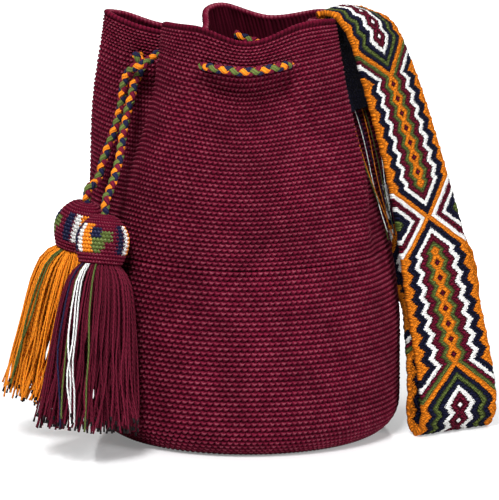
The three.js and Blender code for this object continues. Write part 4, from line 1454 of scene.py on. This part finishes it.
class BAG_OT_strap(bpy.types.Operator):
    """Weaves the shoulder strap with its pattern of diamonds, zigzags and crossings"""
    bl_idname = "bag.strap"
    bl_label = "Woven strap"

    made = []

    def execute(self, context):
        sizes = context.scene.bag_sizes
        knots = sizes.knots
        row_length = sizes.knot_row / MM
        stations = strap_stations()
        t = np.linspace(0, 1, STRAP_SAMPLES)
        lanes = np.stack([smooth_curve(stations[:, i], t) for i in range(len(LANES))], 1)
        run = run_lengths(lanes[:, len(LANES) // 2])
        at = np.linspace(0, run[-1], 2 * int(run[-1] / row_length) + 1)
        sections = np.array([[np.interp(at, run, lanes[:, i, k]) for k in range(3)] for i in range(len(LANES))])
        sections = np.transpose(sections, (2, 0, 1))
        rows = (at - CROSSING_RUN) / row_length
        rows = np.where(rows < 0, rows / ROW_ABOVE, rows)
        front_x = np.linspace(-1, 1, 2 * knots + 1)
        back_x = np.linspace(1, -1, knots + 1)
        scallop = 1 + EDGE_SCALLOP * zigzag(np.abs(rows) - A_ROWS + A_WAVE)
        front, face = self.across(sections, front_x, scallop)
        back, back_face = self.across(sections, back_x, scallop)
        x = front_x * knots / 2
        relief = STRAP_CORE + ROPE_DEPTH * strap_relief(x[None], rows[:, None])
        relief = relief + KNOT_DEPTH * knot_height(x[None], rows[:, None])
        back_relief = STRAP_CORE + STRAP_BACK + KNOT_DEPTH * knot_height(back_x[None] * knots / 2, rows[:, None])
        top = front + face * relief[..., None]
        under = back - back_face * back_relief[..., None]
        points = np.concatenate([top, under, top[:, :1]], 1)[:, ::-1]
        place = np.concatenate([x, back_x * knots / 2, x[:1]])[::-1]

        def uv(row, column, face_row):
            return place[column], rows[row]

        plain = STRAP_SEWN_LENGTH + PLAIN_LENGTH
        first_row, last_row = np.interp((plain, run[-1] - plain), at, rows)
        material = woven("woven_yarns", palette(context), first_row, last_row)
        obj = sheet_piece("woven_strap", points, uv, [material], cap_ends=True)
        finish_piece(obj, "woven_strap", "shoulder_strap")
        self.made[:] = (obj, float(run[-1]))
        return {"FINISHED"}

    def across(self, sections, x, scallop):
        """Points and directions out of the front face across the strap, on the smooth line through its lanes."""
        nodes = np.linspace(-1, 1, len(LANES))
        at = x[None] * scallop[:, None]
        points = 0
        for i in range(len(nodes)):
            weight = np.ones_like(at)
            for j in range(len(nodes)):
                if i != j:
                    weight = weight * (at - nodes[j]) / (nodes[i] - nodes[j])
            points = points + weight[..., None] * sections[:, i, None]
        way = np.sign(x[-1] - x[0])
        return points, unit(np.cross(np.gradient(points, axis=0), way * np.gradient(points, axis=1)))


SEAMS = {"right": (STRAP_PANEL_RIGHT, RIGHT_SEAM_TOP), "left": (STRAP_PANEL_LEFT, LEFT_SEAM_TOP)}
SEAM_YARN_SIDES = 6
SEAM_SEED = 7
# the loose warp ends, side by side
THREAD_YARNS = (GREEN, ORANGE, WHITE, NAVY, ORANGE, GREEN, WHITE, NAVY, BURGUNDY)
THREAD_RADIUS = 0.36
THREAD_POINTS = 14
# what they leave free at the strap's edges, how far they start under the strap, and shares of their length
THREAD_MARGIN = 6
THREAD_HIDDEN = 6
THREAD_LENGTHS = (0.86, 1.04)
# how far they swing to the side, the radians of that on the way down, and how much they draw together
THREAD_SWING = 7
THREAD_WAVES = (2.5, 5)
THREAD_GATHER = 0.45
# how far they lie below the strap's middle, ripple, the radians of that, and how far they stand off at the tip
THREAD_SINK = 1.2
THREAD_RIPPLE = 0.8
RIPPLE_WAVES = 3
THREAD_RISE = 3.5
# their waves start anywhere up to this many radians
LATEST_PHASE = 6
# the whip stitches: points out from the strap's edge, and off the fabric. The first lies in the fabric, and the
# others are at shares of the height over the strap
STITCH_YARN_RADIUS = 0.6
EDGE_STITCHES = 10
WHIP_OUT = np.array((2.2, 1.6, 0.9, -0.5, -2.5, -4.0))
WHIP_ROOT = -0.8
WHIP_SHARES = np.array((0.55, 0.75, 1.0, 1.0, 0.72))


class BAG_OT_seams(bpy.types.Operator):
    """Hangs the loose warp ends from both sewn ends of the strap, and sews the ends down"""
    bl_idname = "bag.seams"
    bl_label = "Strap seams"

    made = []

    def execute(self, context):
        self.made.clear()
        self.rng = np.random.default_rng(SEAM_SEED)
        self.materials = finishes(context, "yarn")
        for name, (panel, top) in SEAMS.items():
            self.share = rim_share(panel)
            self.hang(name, top - SEWN_SHARE)
            self.sew(name, top, top - SEWN_SHARE)
        return {"FINISHED"}

    def laid(self, lane, height, off):
        return off_fabric(self.share + share_of_length(self.share, height, lane), height, off)

    def keep(self, name, slot, lines, radius, material):
        strands = [(np.array(lines), radius, SEAM_YARN_SIDES, material, YARN_TWIST)]
        self.made.append(finish_piece(strand_piece(name, strands, self.materials), slot))

    def hang(self, name, end):
        """Warp ends that hang from a sewn end."""
        uniform = self.rng.uniform
        down = np.linspace(0, 1, THREAD_POINTS)
        count = len(THREAD_YARNS)
        lines = []
        for i in range(count):
            lane = ((i + 0.5) / count - 0.5) * (STRAP_WIDTH - THREAD_MARGIN)
            length = YARN_TAIL_LENGTH * uniform(*THREAD_LENGTHS)
            drop = -THREAD_HIDDEN + (THREAD_HIDDEN + length) * down
            swing = THREAD_SWING * down * np.sin(uniform(*THREAD_WAVES) * down + uniform(0, LATEST_PHASE))
            ripple = THREAD_RIPPLE * np.sin(RIPPLE_WAVES * down + uniform(0, LATEST_PHASE))
            off = SEAM_OFF - THREAD_SINK + ripple + uniform(0, THREAD_RISE) * down ** 2
            lines.append(self.laid(lane + (swing - THREAD_GATHER * lane * down), end - drop / WALL_HEIGHT, off))
        material = np.repeat(np.array(THREAD_YARNS)[:, None], THREAD_POINTS - 1, 1)
        self.keep(f"{name}_strap_ends", "woven_strap", lines, THREAD_RADIUS, material)

    def sew(self, name, top, end):
        """Whip stitches along both long edges of a sewn end."""
        high = SEAM_OFF + STRAP_THICKNESS / 2 + STITCH_YARN_RADIUS
        off = np.concatenate([[WHIP_ROOT], WHIP_SHARES * high])
        climb = np.linspace(-1, 1, len(WHIP_OUT)) / WALL_HEIGHT
        lines = []
        for side in (-1, 1):
            for k in range(EDGE_STITCHES):
                height = end + (top - end) * (k + 0.5) / EDGE_STITCHES
                lines.append(self.laid(side * (STRAP_WIDTH / 2 + WHIP_OUT), height + climb, off))
        self.keep(f"{name}_seam_stitches", "burgundy_yarn", lines, STITCH_YARN_RADIUS, BURGUNDY)


# Stage, with lengths in metres and powers in watts

CAMERA_LENS = 255
CAMERA_PLACE = (0.002, -2.56, 0.583)
CAMERA_AIM = (0.002, 0, 0.132)
FLOOR_SIZE = 30
FLOOR_COLOUR = (0.86, 0.86, 0.87, 1)
FLOOR_ROUGHNESS = 0.14
FLOOR_SPECULAR = 0.35
# distances from the bag between which the floor brightens, and its glow there
FLOOR_GLOW = {"From Min": 0.1, "From Max": 0.9, "To Min": 0.2, "To Max": 0.97}
# light of the world on the bag, and where it is seen or mirrored
WORLD_LIGHT = {"To Min": 0.1, "To Max": 1.0}
PURE_WHITE = (1, 1, 1, 1)
LAMP_AIM = (0, 0, 0.15)
# place, size and power of each lamp
LAMPS = {
    "key": ((-0.5, -1.7, 2.05), 0.8, 84),
    "fill": ((1.9, -1.6, 1.2), 1.0, 40),
    "top": ((0.0, 0.3, 2.4), 1.4, 18),
}


class BAG_OT_stage(bpy.types.Operator):
    """Sets up the floor, the soft light and the camera"""
    bl_idname = "bag.stage"
    bl_label = "Stage"

    def execute(self, context):
        scene = context.scene
        camera = bpy.data.cameras.new("camera")
        camera.lens = CAMERA_LENS
        scene.camera = self.aimed(scene, camera, CAMERA_PLACE, CAMERA_AIM)
        self.floor()
        self.world(scene)
        for name, (place, size, power) in LAMPS.items():
            lamp = bpy.data.lights.new(name, "AREA")
            lamp.size = size
            lamp.energy = power
            self.aimed(scene, lamp, place, LAMP_AIM)
        scene.view_settings.view_transform = "Standard"
        return {"FINISHED"}

    def aimed(self, scene, data, place, target):
        """An object that holds a camera or a lamp and points it at a target."""
        holder = bpy.data.objects.new(data.name, data)
        scene.collection.objects.link(holder)
        holder.location = place
        holder.rotation_euler = (Vector(target) - Vector(place)).to_track_quat("-Z", "Y").to_euler()
        return holder

    def floor(self):
        bpy.ops.object.select_all(action="DESELECT")
        bpy.ops.mesh.primitive_plane_add(size=FLOOR_SIZE)
        floor = bpy.context.object
        floor.name = "floor"
        material = bpy.data.materials.new("floor")
        nodes = Nodes(material)
        # the floor brightens to the white of the background away from the bag
        far = nodes.add("ShaderNodeVectorMath", {0: nodes.object_place()}, "Value", operation="LENGTH")
        glow = nodes.add("ShaderNodeMapRange", {"Value": far, **FLOOR_GLOW}, interpolation_type="SMOOTHSTEP")
        nodes.feed(nodes.tree.nodes["Principled BSDF"], {
            "Base Color": FLOOR_COLOUR, "Roughness": FLOOR_ROUGHNESS, "Specular IOR Level": FLOOR_SPECULAR,
            "Emission Color": PURE_WHITE, "Emission Strength": nodes.light_path("Is Camera Ray") * glow,
        })
        floor.data.materials.append(material)

    def world(self, scene):
        scene.world = bpy.data.worlds.new("studio")
        nodes = Nodes(scene.world)
        seen = nodes.light_path("Is Camera Ray").most(nodes.light_path("Is Glossy Ray"))
        strength = nodes.add("ShaderNodeMapRange", {"Value": seen, **WORLD_LIGHT})
        nodes.feed(nodes.tree.nodes["Background"], {0: PURE_WHITE, 1: strength})


class BAG_PT_panel(bpy.types.Panel):
    """Lists the settings and the pieces of the bag"""
    bl_idname = "BAG_PT_panel"
    bl_label = "Crocheted bag"
    bl_space_type = "VIEW_3D"
    bl_region_type = "UI"
    bl_category = "Bag"

    def draw(self, context):
        for group in (context.scene.bag_sizes, context.scene.bag_colours):
            for name in group.__annotations__:
                self.layout.prop(group, name)
        for operator in OPERATORS:
            self.layout.operator(operator.bl_idname)


OPERATORS = (BAG_OT_stage, BAG_OT_drawstring, BAG_OT_tassels, BAG_OT_body, BAG_OT_strap, BAG_OT_seams)
CLASSES = (BagSizes, BagColours, *OPERATORS, BAG_PT_panel)


def register():
    for cls in CLASSES:
        bpy.utils.register_class(cls)
    bpy.types.Scene.bag_sizes = PointerProperty(type=BagSizes)
    bpy.types.Scene.bag_colours = PointerProperty(type=BagColours)


def unregister():
    del bpy.types.Scene.bag_sizes
    del bpy.types.Scene.bag_colours
    for cls in reversed(CLASSES):
        bpy.utils.unregister_class(cls)


def main():
    register()
    bpy.ops.bag.stage()
    bpy.ops.bag.drawstring()
    bpy.ops.bag.tassels()
    bpy.ops.bag.body()
    bpy.ops.bag.strap()
    bpy.ops.bag.seams()
    for colour, (braid, line) in BAG_OT_drawstring.cords.items():
        length = float(run_lengths(line)[-1]) * MM
        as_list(BAG_OT_tassels.made[colour])
    strap, run = BAG_OT_strap.made
    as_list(BAG_OT_seams.made)


if __name__ == "__main__":
    main()
